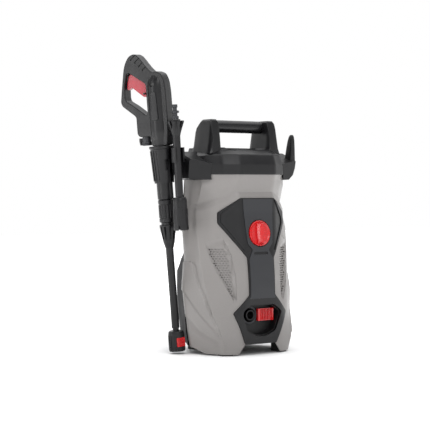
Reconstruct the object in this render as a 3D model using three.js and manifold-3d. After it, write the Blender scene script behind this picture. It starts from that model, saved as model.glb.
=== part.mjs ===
// An upright electric pressure washer with its trigger gun, its fitted lance and a spare lance.
// Millimetres, X to the right, Y to the back, Z up; the front of the machine faces -Y.
// The origin is at the middle of the footprint, on the surface that the machine stands on.
import * as THREE from 'three';
import { mergeVertices } from 'three/addons/utils/BufferGeometryUtils.js';
import Module from 'manifold-3d';

const wasm = await Module();
wasm.setup();

// ---------------------------------------------------------------- driving dimensions

const GAP = 0.3; // clearance between pieces that touch
const FIT = 0.6; // clearance round pieces that slide or turn
const FACETS = 24; // sides of a round piece
const FINE = 36; // sides of a large round piece

const BODY = { half: 125, front: 113, top: 369, floor: 3, wall: 3 };
const COVER = { rise: 56, lip: 2, wall: 3, crease: 21, brow: 40 };
const HANDLE = { inner: 62.5, outer: 82, top: 114, bar: 26, barY: -20, barDrop: 13.5 };
const WING = { reach: 11, frontY: -55, backY: -8, low: -9, high: 46, fall: 14 };
const HOOK = { width: 14, depth: 24, height: 54, fromEdge: 1 };
const SKIN = { fascia: 3, plate: 3 }; // thickness of the two trim layers
const KNOB = { below: 121, diameter: 53, height: 21, shaft: 10, lean: 6.8, sunk: 9, well: 56 };
const OUTLET = { x: -18.5, z: 81, diameter: 27, bore: 15, recess: 21, front: 99 };
const RELEASE = { x0: -1, x1: 38, z0: 68.5, z1: 93.5, depth: 6, travel: 4 };
const FOOT = { width: 24, depth: 20, frontX: 68, frontY: -80, rearX: 58, rearY: 46, rearRise: 18 };
const MOTOR = { x: 0, y: -11, z0: 168, z1: 262, diameter: 92, shaft: 10, core: 52 };
const GEAR = { pinion: 8, wheel: 30, face: 9, z0: 143 };
const PUMP = { z0: 46, z1: 112, diameter: 88, piston: 13, circle: 24, stroke: 9 };
const HOLSTER = { out: 41.6, y: 0.3, rise: 19, inward: 34.766, top: 39, foot: -36, wide: 49, narrow: 40.5 };
const GUN = { yaw: -60, half: 19, gripHalf: 13.5, wall: 3, barrel: 33 };
const LANCE = { tube: 16, bore: 6, ring: 33.5, head: 36, headLength: 41.5, clear: 4.5 };
const INSERT = { width: 19, turn: -88 };
const SPARE = { out: 33, y: -41.8, rise: 14, inward: 23.76, head: 30, plug: 11 };

const PAINT = {
  shell: { color: 0x8f8c8a, roughness: 0.42, metalness: 0 },
  black: { color: 0x232325, roughness: 0.55, metalness: 0 },
  charcoal: { color: 0x38393c, roughness: 0.6, metalness: 0 },
  red: { color: 0xe0342b, roughness: 0.32, metalness: 0 },
  crimson: { color: 0xb3173a, roughness: 0.4, metalness: 0 },
  rubber: { color: 0x171717, roughness: 0.9, metalness: 0 },
  steel: { color: 0xa9abad, roughness: 0.35, metalness: 1 },
  aluminium: { color: 0xb8babd, roughness: 0.5, metalness: 1 },
  brass: { color: 0xb68d40, roughness: 0.35, metalness: 1 },
  nylon: { color: 0xd9d4c4, roughness: 0.6, metalness: 0 },
  copper: { color: 0x8a4b2d, roughness: 0.5, metalness: 0.6 },
};

// ---------------------------------------------------------------- making solids

const { degToRad } = THREE.MathUtils;

// The closed solid of a three.js geometry.
function solid(geometry) {
  const plain = geometry.clone();
  for (const name of Object.keys(plain.attributes)) {
    if (name !== 'position') plain.deleteAttribute(name);
  }
  const merged = mergeVertices(plain, 1e-4);
  return new wasm.Manifold(new wasm.Mesh({
    numProp: 3,
    vertProperties: new Float32Array(merged.attributes.position.array),
    triVerts: new Uint32Array(merged.index.array),
  }));
}

// The three.js geometry of a solid.
function geometryOf(shape) {
  const mesh = shape.getMesh();
  const geometry = new THREE.BufferGeometry();
  geometry.setAttribute('position', new THREE.BufferAttribute(new Float32Array(mesh.vertProperties), 3));
  geometry.setIndex(Array.from(mesh.triVerts));
  geometry.computeVertexNormals();
  return geometry;
}

function add(parent, name, shape, paint) {
  const material = new THREE.MeshStandardMaterial(paint);
  const mesh = new THREE.Mesh(geometryOf(shape), material);
  mesh.name = name;
  parent.add(mesh);
  return mesh;
}

const outlineShape = (points) => new THREE.Shape(points.map(([a, b]) => new THREE.Vector2(a, b)));

// An outline of [x, y] points, from z0 up to z1.
function prismZ(points, z0, z1) {
  const geometry = new THREE.ExtrudeGeometry(outlineShape(points), { depth: z1 - z0, bevelEnabled: false });
  return solid(geometry.translate(0, 0, z0));
}

// An outline of [x, z] points, from y0 back to y1.
function prismY(points, y0, y1) {
  const geometry = new THREE.ExtrudeGeometry(outlineShape(points), { depth: y1 - y0, bevelEnabled: false });
  return solid(geometry.rotateX(Math.PI / 2).translate(0, y1, 0));
}

// An outline of [y, z] points, from x0 to x1.
function prismX(points, x0, x1) {
  const geometry = new THREE.ExtrudeGeometry(outlineShape(points), { depth: x1 - x0, bevelEnabled: false });
  const turn = new THREE.Matrix4().makeBasis(
    new THREE.Vector3(0, 1, 0), new THREE.Vector3(0, 0, 1), new THREE.Vector3(1, 0, 0));
  return solid(geometry.applyMatrix4(turn).translate(x0, 0, 0));
}

const block = (x0, x1, y0, y1, z0, z1) => solid(
  new THREE.BoxGeometry(x1 - x0, y1 - y0, z1 - z0)
    .translate((x0 + x1) / 2, (y0 + y1) / 2, (z0 + z1) / 2));

// A profile of [radius, z] points turned round a vertical line through (x, y).
function turned(profile, x = 0, y = 0, sides = FACETS) {
  const points = profile.map(([r, z]) => new THREE.Vector2(r, z));
  return solid(new THREE.LatheGeometry(points, sides).rotateX(Math.PI / 2).translate(x, y, 0));
}

// A round bar from z0 to z1, or with ends of different radii.
const bar = (radius, z0, z1, x = 0, y = 0, sides = FACETS, topRadius = radius) => turned(
  [[0, z0], [radius, z0], [topRadius, z1], [0, z1]], x, y, sides);

// A round tube from z0 to z1.
const pipe = (outer, inner, z0, z1, x = 0, y = 0, sides = FACETS) => turned(
  [[inner, z0], [outer, z0], [outer, z1], [inner, z1], [inner, z0]], x, y, sides);

// The profile of a plain round rod between two distances along its axis.
const rod = (radius, from, to) => [[0, from], [radius, from], [radius, to], [0, to]];

// A profile of [radius, distance] points turned round a line that points to the front.
function turnedToFront(profile, x, z, lean = 0, pivotY = 0, sides = FACETS) {
  const points = profile.map(([r, out]) => new THREE.Vector2(r, out));
  const geometry = new THREE.LatheGeometry(points, sides).rotateX(Math.PI);
  return solid(geometry.rotateX(-degToRad(lean)).translate(x, pivotY, z));
}

// A solid through a stack of outlines that have the same number of points, counter-clockwise.
function loft(levels) {
  const count = levels[0].outline.length;
  const position = levels.flatMap(({ z, outline }) => outline.flatMap(([x, y]) => [x, y, z]));
  const index = [];
  for (let level = 0; level < levels.length - 1; level += 1) {
    for (let corner = 0; corner < count; corner += 1) {
      const a = level * count + corner;
      const b = level * count + (corner + 1) % count;
      index.push(a, b, b + count, a, b + count, a + count);
    }
  }
  const cap = (outline) => THREE.ShapeUtils.triangulateShape(
    outline.map(([x, y]) => new THREE.Vector2(x, y)), []);
  const last = (levels.length - 1) * count;
  for (const [a, b, c] of cap(levels[0].outline)) index.push(a, c, b);
  for (const [a, b, c] of cap(levels.at(-1).outline)) index.push(last + a, last + b, last + c);
  const geometry = new THREE.BufferGeometry();
  geometry.setAttribute('position', new THREE.Float32BufferAttribute(position, 3));
  geometry.setIndex(index);
  return solid(geometry);
}

// An outline grown outward by a distance, or shrunk by a negative one.
function grow(outline, distance) {
  const count = outline.length;
  return outline.map(([x, y], i) => {
    const [ax, ay] = outline[(i + count - 1) % count];
    const [bx, by] = outline[(i + 1) % count];
    const first = new THREE.Vector2(y - ay, ax - x).normalize();
    const second = new THREE.Vector2(by - y, x - bx).normalize();
    const reach = distance / (1 + first.dot(second));
    return [x + (first.x + second.x) * reach, y + (first.y + second.y) * reach];
  });
}

// The whole outline from its half on the +X side, listed from the front to the back.
const mirrored = (half) => [...half, ...half.filter(([x]) => x > 0).reverse().map(([x, y]) => [-x, y])];
const flip = (points) => points.map(([a, b]) => [-a, b]).reverse();

// ---------------------------------------------------------------- housing shape

// The housing's plan at each height, on the +X side: the flat front face, the brow, the front
// corner and the widest point of the front shell, the seam, then the flank and back corner of
// the rear shell. An x is given as its distance in from BODY.half, and a front y as its
// distance behind BODY.front.
const fromTop = (drop) => BODY.top - drop;
const LEVELS = [
  { z: BODY.floor, face: 54, set: 6, brow: [57, 10], corner: [42, 19], side: [9, -27],
    seam: [13, -14], flank: [39, 40], back: [63, 68] },
  { z: 40, face: 52, set: 3, brow: [53, 9], corner: [36, 15], side: [2, -23],
    seam: [7, -12], flank: [29, 42], back: [53, 84] },
  { z: 87, face: 50, set: 1, brow: [49, 14], corner: [25.6, 33.4], side: [0, -17],
    seam: [5, -8], flank: [26, 48], back: [49, 88] },
  { z: 132, face: 34, set: 0, brow: [47, 19], corner: [17.7, 44], side: [0, -9],
    seam: [5, 0], flank: [25, 52], back: [49, 90] },
  { z: 165, face: 34, set: 2, brow: [46, 24], corner: [15.7, 55], side: [4, -9],
    seam: [8, 1], flank: [27, 54], back: [49, 90] },
  { z: 193, face: 34, set: 5, brow: [45, 29], corner: [13, 61], side: [7, -9],
    seam: [10, 3], flank: [33, 50], back: [57, 72] },
  { z: 207, face: 35, set: 6.7, brow: [44, 31], corner: [12.6, 62], side: [7, -7],
    seam: [10, 3.5], flank: [39, 43], back: [59, 62] },
  { z: fromTop(116), face: 40, set: 12.5, brow: [41, 39], corner: [11, 69], side: [5, -2],
    seam: [8, 6], flank: [41, 42], back: [59, 62] },
  { z: fromTop(77), face: 42, set: 17, brow: [43, 41], corner: [13, 75], side: [6, -5],
    seam: [9, 6], flank: [41, 42], back: [59, 62] },
  { z: fromTop(46), face: 44, set: 22, brow: [45, 45], corner: [14, 80], side: [8, -8],
    seam: [11, 6], flank: [41, 42], back: [59, 62] },
  { z: fromTop(36), face: 44.5, set: 23, brow: [46, 46], corner: [17, 78], side: [10, -10],
    seam: [12, 6], flank: [41, 42], back: [59, 62] },
  { z: BODY.top, face: 44, set: 14, brow: [50, 34], corner: [21, 65], side: [14, -14],
    seam: [14, 6], flank: [41, 42], back: [59, 62] },
];

// The same outlines carried straight on past both ends.
const prolong = (rows, over) => (over === 0 ? rows
  : [{ ...rows[0], z: rows[0].z - over }, ...rows, { ...rows.at(-1), z: rows.at(-1).z + over }]);

const across = (inset) => BODY.half - inset;
const behind = (setback) => -BODY.front + setback;

const frontHalf = (row) => [
  [0, behind(row.set)], [row.face, behind(row.set)],
  [across(row.brow[0]), behind(row.brow[1])], [across(row.corner[0]), behind(row.corner[1])],
  [across(row.side[0]), row.side[1]], [across(row.seam[0]), row.seam[1] - GAP / 2],
];
const rearHalf = (row) => [
  [across(row.seam[0]), row.seam[1] + GAP / 2],
  [across(row.flank[0]), row.flank[1]], [across(row.back[0]), row.back[1]], [0, row.back[1] + 2],
];

// The front shell's outside, grown by a distance; reach carries its open back further to the rear.
function frontForm(distance, reach = 0, over = 0) {
  const rows = LEVELS.map((row) => {
    const half = frontHalf(row);
    const seamY = row.seam[1] - GAP / 2;
    const outline = grow(mirrored([...half, [0, seamY]]), distance);
    const last = half.length - 1;
    const edge = outline[last];
    const other = outline[last + 2];
    const open = [[edge[0], edge[1] + reach], [other[0], other[1] + reach]];
    const body = reach ? [...outline.slice(0, last + 1), ...open, ...outline.slice(last + 2)] : outline;
    return { z: row.z, outline: body };
  });
  return loft(prolong(rows, over));
}

// The rear shell's outside, in the same way; reach carries its open front further forward.
function rearForm(distance, reach = 0, over = 0) {
  const rows = LEVELS.map((row) => {
    const half = rearHalf(row);
    const outline = grow(mirrored([[0, half[0][1]], ...half]), distance);
    const [seamRight, seamLeft] = [outline[1], outline.at(-1)];
    const open = [[seamLeft[0], seamLeft[1] - reach], [seamRight[0], seamRight[1] - reach]];
    const body = reach ? [...open, ...outline.slice(1)] : outline;
    return { z: row.z, outline: body };
  });
  return loft(prolong(rows, over));
}

// The raised sill: the lower edge climbs behind the front feet, and arches between them.
const SILL_OUTLINE = [[-72, -5], [-30, 14], [20, FOOT.rearRise], [130, FOOT.rearRise], [130, -20], [-72, -20]];
const SILL = prismX(SILL_OUTLINE, -BODY.half - 20, BODY.half + 20);
const ARCH_OUTLINE = [[-53, -10], [53, -10], [53, BODY.floor], [39, 22], [-39, 22], [-53, BODY.floor]];
const ARCH = prismY(ARCH_OUTLINE, -BODY.front - 20, -50);

// ---------------------------------------------------------------- openings in the front

const knobZ = fromTop(KNOB.below);
// The knob is sunk in a well, from the trim's outer face where the knob's axis crosses it.
const knobY = behind(12.9) - SKIN.fascia - SKIN.plate - 3 * GAP + KNOB.sunk;

const RECESS_HALF = [[0, 103], [29, 103], [50, 88], [35, 49], [16, 40], [0, 38]];
const otherSide = (half) => half.filter(([x]) => x > 0).reverse().map(([x, z]) => [-x, z]);
const bothSides = (half) => [...half, ...otherSide(half)].reverse();
const RECESS = bothSides(RECESS_HALF);
const VENT = [[76, 240], [62, 203], [57, 160], [57, 118], [63, 110], [84, 160], [97, 204], [101, 228]];

const knobHole = (radius) => turnedToFront(
  [[0, -60], [radius, -60], [radius, 60], [0, 60]], 0, knobZ, KNOB.lean, knobY);
const recessHole = (distance) => prismY(grow(RECESS, distance), -BODY.front - 30, -60);
const ventHole = (side, distance) => {
  const outline = grow([...VENT].reverse(), distance);
  return prismY(side > 0 ? outline : flip(outline), -BODY.front - 30, -30);
};

// ---------------------------------------------------------------- housing

const machine = new THREE.Group();

function addShells() {
  const frontOuter = frontForm(0);
  const front = frontOuter
    .subtract(frontForm(-BODY.wall, 60, 10))
    .subtract(recessHole(2.4 + GAP))
    .subtract(knobHole(KNOB.well / 2 + 2))
    .subtract(ventHole(1, 0)).subtract(ventHole(-1, 0))
    .subtract(SILL).subtract(ARCH);
  add(machine, 'front_shell', front, PAINT.shell);
  const rear = rearForm(0)
    .subtract(rearForm(-BODY.wall, 60, 10))
    .subtract(inletHole(INLET.flange + GAP))
    .subtract(glandHole(GLAND.neck + GAP))
    .subtract(SILL);
  add(machine, 'rear_shell', rear, PAINT.black);
}

// The dark trim follows the front shell's facets in two layers.
const FASCIA_HALF = () => [[0, fromTop(48)], [42, fromTop(48)], [82, fromTop(77)], [83, fromTop(100)],
  [33, 199], [32, 123], [66, 87], [39, 22.5], [0, 22.5]];
const PLATE_HALF = () => [[0, fromTop(50)], [38, fromTop(50)], [34, fromTop(112)], [30, 228], [17, 216],
  [21, 198], [22, 122], [34, 109], [0, 109]];

const layer = (outline, inner, outer) => prismY(outline, -BODY.front - 30, -40)
  .intersect(frontForm(outer)).subtract(frontForm(inner));

function addTrim() {
  const fascia = layer(bothSides(FASCIA_HALF()), GAP, GAP + SKIN.fascia)
    .subtract(recessHole(GAP)).subtract(knobHole(KNOB.well / 2 + 1));
  add(machine, 'fascia', fascia, PAINT.black);
  const inner = 2 * GAP + SKIN.fascia;
  const plate = layer(bothSides(PLATE_HALF()), inner, inner + SKIN.plate)
    .subtract(knobHole(KNOB.well / 2));
  add(machine, 'control_plate', plate, PAINT.charcoal);
  const cup = recessHole(0)
    .subtract(prismY(grow(RECESS, -2), -BODY.front - 40, behind(OUTLET.recess) - 2.5))
    .intersect(block(-90, 90, behind(1) - GAP - SKIN.fascia, behind(OUTLET.recess), 20, 120))
    .subtract(turnedToFront(rod(OUTLET.diameter / 2 + GAP, 0, 200), OUTLET.x, OUTLET.z))
    .subtract(block(RELEASE.x0 + 6, RELEASE.x1 - 6, -100, -60, RELEASE.z0 + 7, RELEASE.z1 - 7));
  add(machine, 'outlet_recess', cup, PAINT.black);
  for (const [side, name] of [[-1, 'vent_grille_left'], [1, 'vent_grille_right']]) {
    add(machine, name, ventPanel(side), PAINT.shell);
  }
}

// A vent panel lies behind its opening, with rows of slots through it.
function ventPanel(side) {
  let panel = ventHole(side, 4)
    .intersect(frontForm(-BODY.wall - GAP))
    .subtract(frontForm(-BODY.wall - GAP - 2, 60, 10));
  for (let row = 0; row < 5; row += 1) {
    const z = 132 + row * 20;
    const middle = 63 + row * 5.5;
    const reach = 4 + row * 2.2;
    panel = panel.subtract(block(side * middle - reach, side * middle + reach, -BODY.front, -20, z, z + 6));
  }
  return panel;
}

// The cover's plan at one height, from the front to the back. It draws in towards its top: the
// front face by pull, and the sides by tuck.
function coverLevel(z, distance, pull, tuck, face) {
  const top = LEVELS.at(-1);
  const side = across(12) - tuck;
  const half = [[0, behind(11) + pull], [face, behind(11) + pull],
    [across(48) - tuck * 0.2, behind(30) + pull], [across(19) - tuck * 0.9, -47 + pull * 0.3],
    [side, -14], [side, 6],
    [across(top.flank[0] - 2) - tuck * 0.3, top.flank[1] + 2],
    [across(top.back[0] - 2) - tuck * 0.3, top.back[1] + 2 - pull * 0.2],
    [0, top.back[1] + 4 - pull * 0.2]];
  return { z, outline: grow(mirrored(half), distance) };
}
const coverForm = (distance, low = 0, high = 0) => loft([
  ...(low ? [coverLevel(BODY.top + GAP - low, distance, 0, 0, 43)] : []),
  coverLevel(BODY.top + GAP, distance, 0, 0, 43),
  coverLevel(BODY.top + COVER.crease, distance, 1, 2, 43.5),
  coverLevel(BODY.top + COVER.brow + high, distance, 8, 10, 43),
  coverLevel(BODY.top + COVER.rise + high, distance, 42, 26, 40),
]);

const POST = () => [[-55, BODY.top + COVER.rise - 4], [-46, BODY.top + HANDLE.top],
  [-11, BODY.top + HANDLE.top], [7, BODY.top + HANDLE.top - 14], [20, BODY.top + COVER.rise - 4]];
const barZ = BODY.top + HANDLE.top - HANDLE.barDrop;
const alongX = (radius, x0, x1, y, z, sides = FACETS) => solid(
  new THREE.CylinderGeometry(radius, radius, x1 - x0, sides).rotateZ(Math.PI / 2)
    .translate((x0 + x1) / 2, y, z));

function addCover() {
  const cavity = coverForm(-COVER.wall, 5, -COVER.wall);
  const posts = prismX(POST(), -HANDLE.outer, -HANDLE.inner)
    .add(prismX(POST(), HANDLE.inner, HANDLE.outer));
  const cover = coverForm(0).subtract(cavity).add(posts)
    .subtract(alongX(HANDLE.bar / 2 - 4 + GAP, -HANDLE.outer + 4, HANDLE.outer - 4, HANDLE.barY, barZ));
  add(machine, 'top_cover', cover, PAINT.black);
  const grip = alongX(HANDLE.bar / 2, -HANDLE.inner + GAP, HANDLE.inner - GAP, HANDLE.barY, barZ, FINE)
    .add(alongX(HANDLE.bar / 2 - 4, -HANDLE.outer + 4.4, HANDLE.outer - 4.4, HANDLE.barY, barZ));
  add(machine, 'handle_bar', grip, PAINT.black);
}

// A bracket wing stands out from the cover's side; the left one carries the gun holster.
function wing(side) {
  const edge = BODY.half + WING.reach;
  const low = BODY.top + WING.low;
  const front = [[edge - 46, low - 2], [edge - 10, low], [edge, low + 12],
    [edge, BODY.top + WING.high - 7], [edge - 50, BODY.top + WING.high]];
  const outline = side > 0 ? front : flip(front);
  const top = BODY.top + WING.high;
  const slope = prismX([[WING.frontY - 1, top - WING.fall], [WING.backY + 1, top],
    [WING.backY + 1, top + 9], [WING.frontY - 1, top + 9]], -edge - 9, edge + 9);
  return prismY(outline, WING.frontY, WING.backY)
    .subtract(slope).subtract(coverForm(GAP, 10)).subtract(frontForm(GAP, 20, 20));
}

function addWings() {
  add(machine, 'bracket_left', wing(-1), PAINT.black);
  add(machine, 'bracket_right', wing(1), PAINT.black);
  const outer = BODY.half + WING.reach - HOOK.fromEdge;
  const base = BODY.top + WING.high - WING.fall - 2;
  const front = WING.frontY + 3;
  const deep = HOOK.depth;
  const corner = (left, right, near, far) => [[left, near], [right, near], [right, far], [left, far]];
  const prong = loft([
    { z: base, outline: corner(outer - HOOK.width, outer, front, front + deep) },
    { z: base + HOOK.height * 0.6, outline: corner(outer - 11, outer, front + 1, front + deep * 0.7) },
    { z: base + HOOK.height * 0.9, outline: corner(outer - 10, outer - 1, front + 2, front + deep * 0.6) },
    { z: base + HOOK.height, outline: corner(outer - 8, outer - 4, front + 4, front + deep * 0.5) },
  ]).subtract(wing(1).translate([0, 0, GAP]));
  add(machine, 'cable_hook', largest(prong), PAINT.black);
}

// The piece with the most volume, where a cut leaves crumbs.
const largest = (shape) => shape.decompose().sort((a, b) => b.volume() - a.volume())[0];

function addBase() {
  const seamY = LEVELS[1].seam[1];
  const inside = frontForm(-BODY.wall - FIT, 40, 10).intersect(block(-200, 200, -200, seamY - 4, 22, 30))
    .add(rearForm(-BODY.wall - FIT, 40, 10).intersect(block(-200, 200, seamY + 4, 200, 22, 30)))
    .add(block(-across(24), across(24), seamY - 5, seamY + 5, 22, 30));
  add(machine, 'base_plate', inside.subtract(recessHole(3)), PAINT.black);
  for (const [end, x, y] of [['front', FOOT.frontX, FOOT.frontY], ['rear', FOOT.rearX, FOOT.rearY]]) {
    for (const [side, sign] of [['left', -1], ['right', 1]]) {
      const foot = block(sign * x - FOOT.width / 2, sign * x + FOOT.width / 2,
        y - FOOT.depth / 2, y + FOOT.depth / 2, 0, 22 - GAP);
      const body = end === 'front' ? foot.intersect(frontForm(-BODY.wall - GAP, 40, 20)) : foot;
      add(machine, `foot_${end}_${side}`, body, PAINT.rubber);
    }
  }
}

// ---------------------------------------------------------------- controls and outlet

function addControls() {
  const r = KNOB.diameter / 2;
  const onKnobAxis = (profile, sides) => turnedToFront(profile, 0, knobZ, KNOB.lean, knobY, sides);
  const skirt = onKnobAxis([[0, 1], [r, 1], [r, 7], [r - 2, 9], [0, 9]], FINE);
  const ridge = solid(new THREE.BoxGeometry(9, KNOB.height - 9, 2 * r - 6)
    .translate(0, -(KNOB.height + 9) / 2 + 0.5, 0)
    .rotateX(-degToRad(KNOB.lean)).translate(0, knobY, knobZ));
  const shaft = onKnobAxis(rod(KNOB.shaft / 2, -26, 3));
  add(machine, 'switch_knob', skirt.add(ridge).add(shaft), PAINT.red);
  const box = solid(new THREE.BoxGeometry(42, 21, 46).translate(0, 24, 0)
    .rotateX(-degToRad(KNOB.lean)).translate(0, knobY, knobZ));
  add(machine, 'switch_box', box.subtract(knobHole(KNOB.shaft / 2 + FIT)), PAINT.black);
  const face = -OUTLET.front;
  const socket = turnedToFront([[OUTLET.bore / 2, 0], [OUTLET.diameter / 2 - 3, 0],
    [OUTLET.diameter / 2 - 3, 12], [OUTLET.diameter / 2, 12], [OUTLET.diameter / 2, 30],
    [OUTLET.bore / 2, 30], [OUTLET.bore / 2, 0]], OUTLET.x, OUTLET.z, 0, face + 30);
  add(machine, 'outlet_socket', socket, PAINT.black);
  const back = behind(OUTLET.recess) - 2.5 - RELEASE.travel - GAP;
  const button = block(RELEASE.x0, RELEASE.x1, back - RELEASE.depth, back, RELEASE.z0, RELEASE.z1)
    .add(block(RELEASE.x0 + 8, RELEASE.x1 - 8, back - 1, back + 18, RELEASE.z0 + 9, RELEASE.z1 - 9));
  add(machine, 'outlet_release', button, PAINT.red);
}

// ---------------------------------------------------------------- motor and pump

const INLET = { x: 34, z: 72, flange: 15, bore: 9, out: 24 };
const GLAND = { x: -40, z: 62, neck: 7, out: 14 };
const wallY = (row) => row.back[1] + 2;
const rearWall = wallY(LEVELS[2]);

// A profile of [radius, distance] points turned round a line that points to the back.
const turnedToBack = (profile, x, y, z, sides = FACETS) => solid(
  new THREE.LatheGeometry(profile.map(([r, out]) => new THREE.Vector2(r, out)), sides)
    .translate(x, y, z));
const inletHole = (radius) => turnedToBack(rod(radius, -40, 40), INLET.x, rearWall, INLET.z);
const glandHole = (radius) => turnedToBack(rod(radius, -40, 40), GLAND.x, rearWall, GLAND.z);

const gearX = MOTOR.x + GEAR.pinion + GEAR.wheel + GAP;

function addDrive() {
  const { x, y, z0, z1 } = MOTOR;
  const r = MOTOR.diameter / 2;
  const stator = pipe(r, MOTOR.core / 2 + FIT, z0 + 8, z1 - 12, x, y, FINE);
  add(machine, 'motor_stator', stator, PAINT.steel);
  const armature = bar(MOTOR.core / 2, z0 + 14, z1 - 18, x, y)
    .add(bar(MOTOR.shaft / 2, GEAR.z0, z1 + 14, x, y))
    .add(bar(GEAR.pinion, GEAR.z0, GEAR.z0 + GEAR.face, x, y));
  add(machine, 'motor_armature', armature, PAINT.copper);
  const cap = pipe(r, 11 + GAP, z1 - 11, z1 - 3, x, y, FINE);
  add(machine, 'motor_end_cap', cap, PAINT.nylon);
  add(machine, 'motor_bearing', pipe(11, MOTOR.shaft / 2 + GAP, z1 - 11, z1 - 3, x, y), PAINT.steel);
  let fan = pipe(13, MOTOR.shaft / 2 - 0.2, z1, z1 + 12, x, y);
  for (let blade = 0; blade < 9; blade += 1) {
    fan = fan.add(solid(new THREE.BoxGeometry(26, 2.4, 11).rotateX(0.5).translate(25, 0, z1 + 6)
      .rotateZ(blade * 2 * Math.PI / 9).translate(x, y, 0)));
  }
  add(machine, 'cooling_fan', fan.subtract(bar(MOTOR.shaft / 2 + 0.1, z1 - 5, z1 + 30, x, y)), PAINT.nylon);
  const floor = GEAR.z0 + GEAR.face + 4;
  const housing = bar(r + 2, floor, z0 + 7, x, y, FINE).subtract(bar(MOTOR.shaft / 2 + FIT, 0, 300, x, y))
    .subtract(bar(MOTOR.core / 2 + 8, floor + 6, 300, x, y));
  add(machine, 'gear_housing', housing, PAINT.aluminium);
}

function addPump() {
  const y = MOTOR.y;
  const { z0, z1, circle, stroke } = PUMP;
  const wheel = bar(GEAR.wheel, GEAR.z0 + 1, GEAR.z0 + GEAR.face - 1, gearX, y, FINE)
    .add(bar(6, GEAR.z0 - 14, GEAR.z0 + GEAR.face, gearX, y));
  add(machine, 'drive_gear', wheel, PAINT.nylon);
  const tilt = stroke / (2 * circle);
  const wobbleZ = GEAR.z0 - 5;
  const disc = solid(new THREE.CylinderGeometry(circle + 7, circle + 7, 7, FINE).rotateX(Math.PI / 2)
    .rotateY(Math.atan(tilt)).translate(gearX, y, wobbleZ - 5));
  const plate = disc.add(bar(11, wobbleZ - 9, GEAR.z0 + 1 - GAP, gearX, y))
    .subtract(bar(6.1, 0, 400, gearX, y));
  add(machine, 'wobble_plate', plate, PAINT.steel);
  let body = bar(PUMP.diameter / 2, z0 + 22, z1, gearX, y, FINE);
  for (let cylinder = 0; cylinder < 3; cylinder += 1) {
    const angle = cylinder * 2 * Math.PI / 3 + Math.PI / 6;
    const px = gearX + circle * Math.cos(angle) * 0.92;
    const py = y + circle * Math.sin(angle) * 0.92;
    body = body.subtract(bar(PUMP.piston / 2 + GAP, z0 + 30, 400, px, py));
    const top = wobbleZ - 5 - 3.5 - stroke / 2 - 3.5;
    const piston = bar(PUMP.piston / 2, z0 + 34, top, px, py)
      .add(bar(PUMP.piston / 2 + 3, top - 2.5, top, px, py));
    add(machine, `piston_${cylinder + 1}`, piston, PAINT.steel);
  }
  add(machine, 'pump_body', body, PAINT.aluminium);
  const outletY = -OUTLET.front + 30 + GAP;
  const head = bar(PUMP.diameter / 2, z0, z0 + 22 - GAP, gearX, y, FINE)
    .add(block(OUTLET.x - 14, gearX, outletY, y, z0 + 2, z0 + 22 - GAP))
    .add(block(OUTLET.x - 14, OUTLET.x + 14, outletY, outletY + 12, z0 + 2, OUTLET.z + 14));
  const valveX = -48;
  add(machine, 'pump_head', head, PAINT.aluminium);
  const unloader = bar(12, z0, z0 + 46, valveX, y, 16).add(bar(8, z0 + 46, z0 + 60, valveX, y, 16));
  add(machine, 'unloader_valve', unloader, PAINT.brass);
  const pressureSwitch = block(valveX - 14, valveX + 14, y + 16, y + 40, z0 + 6, z0 + 38);
  add(machine, 'pressure_switch', pressureSwitch, PAINT.charcoal);
  add(machine, 'capacitor', bar(16, 196, 250, -78, y + 10, 20), PAINT.nylon);
}

function addConnections() {
  const wall = rearWall - BODY.wall;
  const inlet = turnedToBack([[INLET.bore, -30], [INLET.flange - 2, -30], [INLET.flange - 2, -GAP],
    [INLET.flange - 2, BODY.wall + GAP], [INLET.flange - 2, INLET.out], [INLET.bore, INLET.out],
    [INLET.bore, -30]], INLET.x, wall, INLET.z);
  add(machine, 'inlet_connector', inlet, PAINT.brass);
  const filter = turnedToBack(rod(INLET.bore - 1, -24, 8), INLET.x, wall, INLET.z, 16);
  add(machine, 'inlet_filter', filter, PAINT.steel);
  const gland = turnedToBack([[3.6, -10], [GLAND.neck, -10], [GLAND.neck, BODY.wall + GAP],
    [GLAND.neck + 3, BODY.wall + GAP], [GLAND.neck - 1, BODY.wall + GLAND.out],
    [3.6, BODY.wall + GLAND.out], [3.6, -10]], GLAND.x, wall, GLAND.z, 16);
  add(machine, 'cord_gland', gland, PAINT.rubber);
}

// ---------------------------------------------------------------- holster, gun and lances

// The gun stands in its holster, leaning outward, so that its lance ends near the machine's foot.
// Its own Z runs up the barrel.
const holsterX = -(BODY.half + HOLSTER.out);
const holsterZ = BODY.top + HOLSTER.rise;
const gunLine = new THREE.Group();
gunLine.position.set(holsterX, HOLSTER.y, holsterZ);
gunLine.rotation.y = -Math.atan2(HOLSTER.inward, holsterZ);
machine.add(gunLine);
// The grip points to -X of this group.
const gun = new THREE.Group();
gun.rotation.z = degToRad(GUN.yaw);
gunLine.add(gun);

const spareZ = BODY.top + SPARE.rise;
const spareX = -(BODY.half + SPARE.out);
const spareLine = new THREE.Group();
spareLine.position.set(spareX, SPARE.y, spareZ);
spareLine.rotation.y = -Math.atan2(SPARE.inward, spareZ);
machine.add(spareLine);

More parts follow.
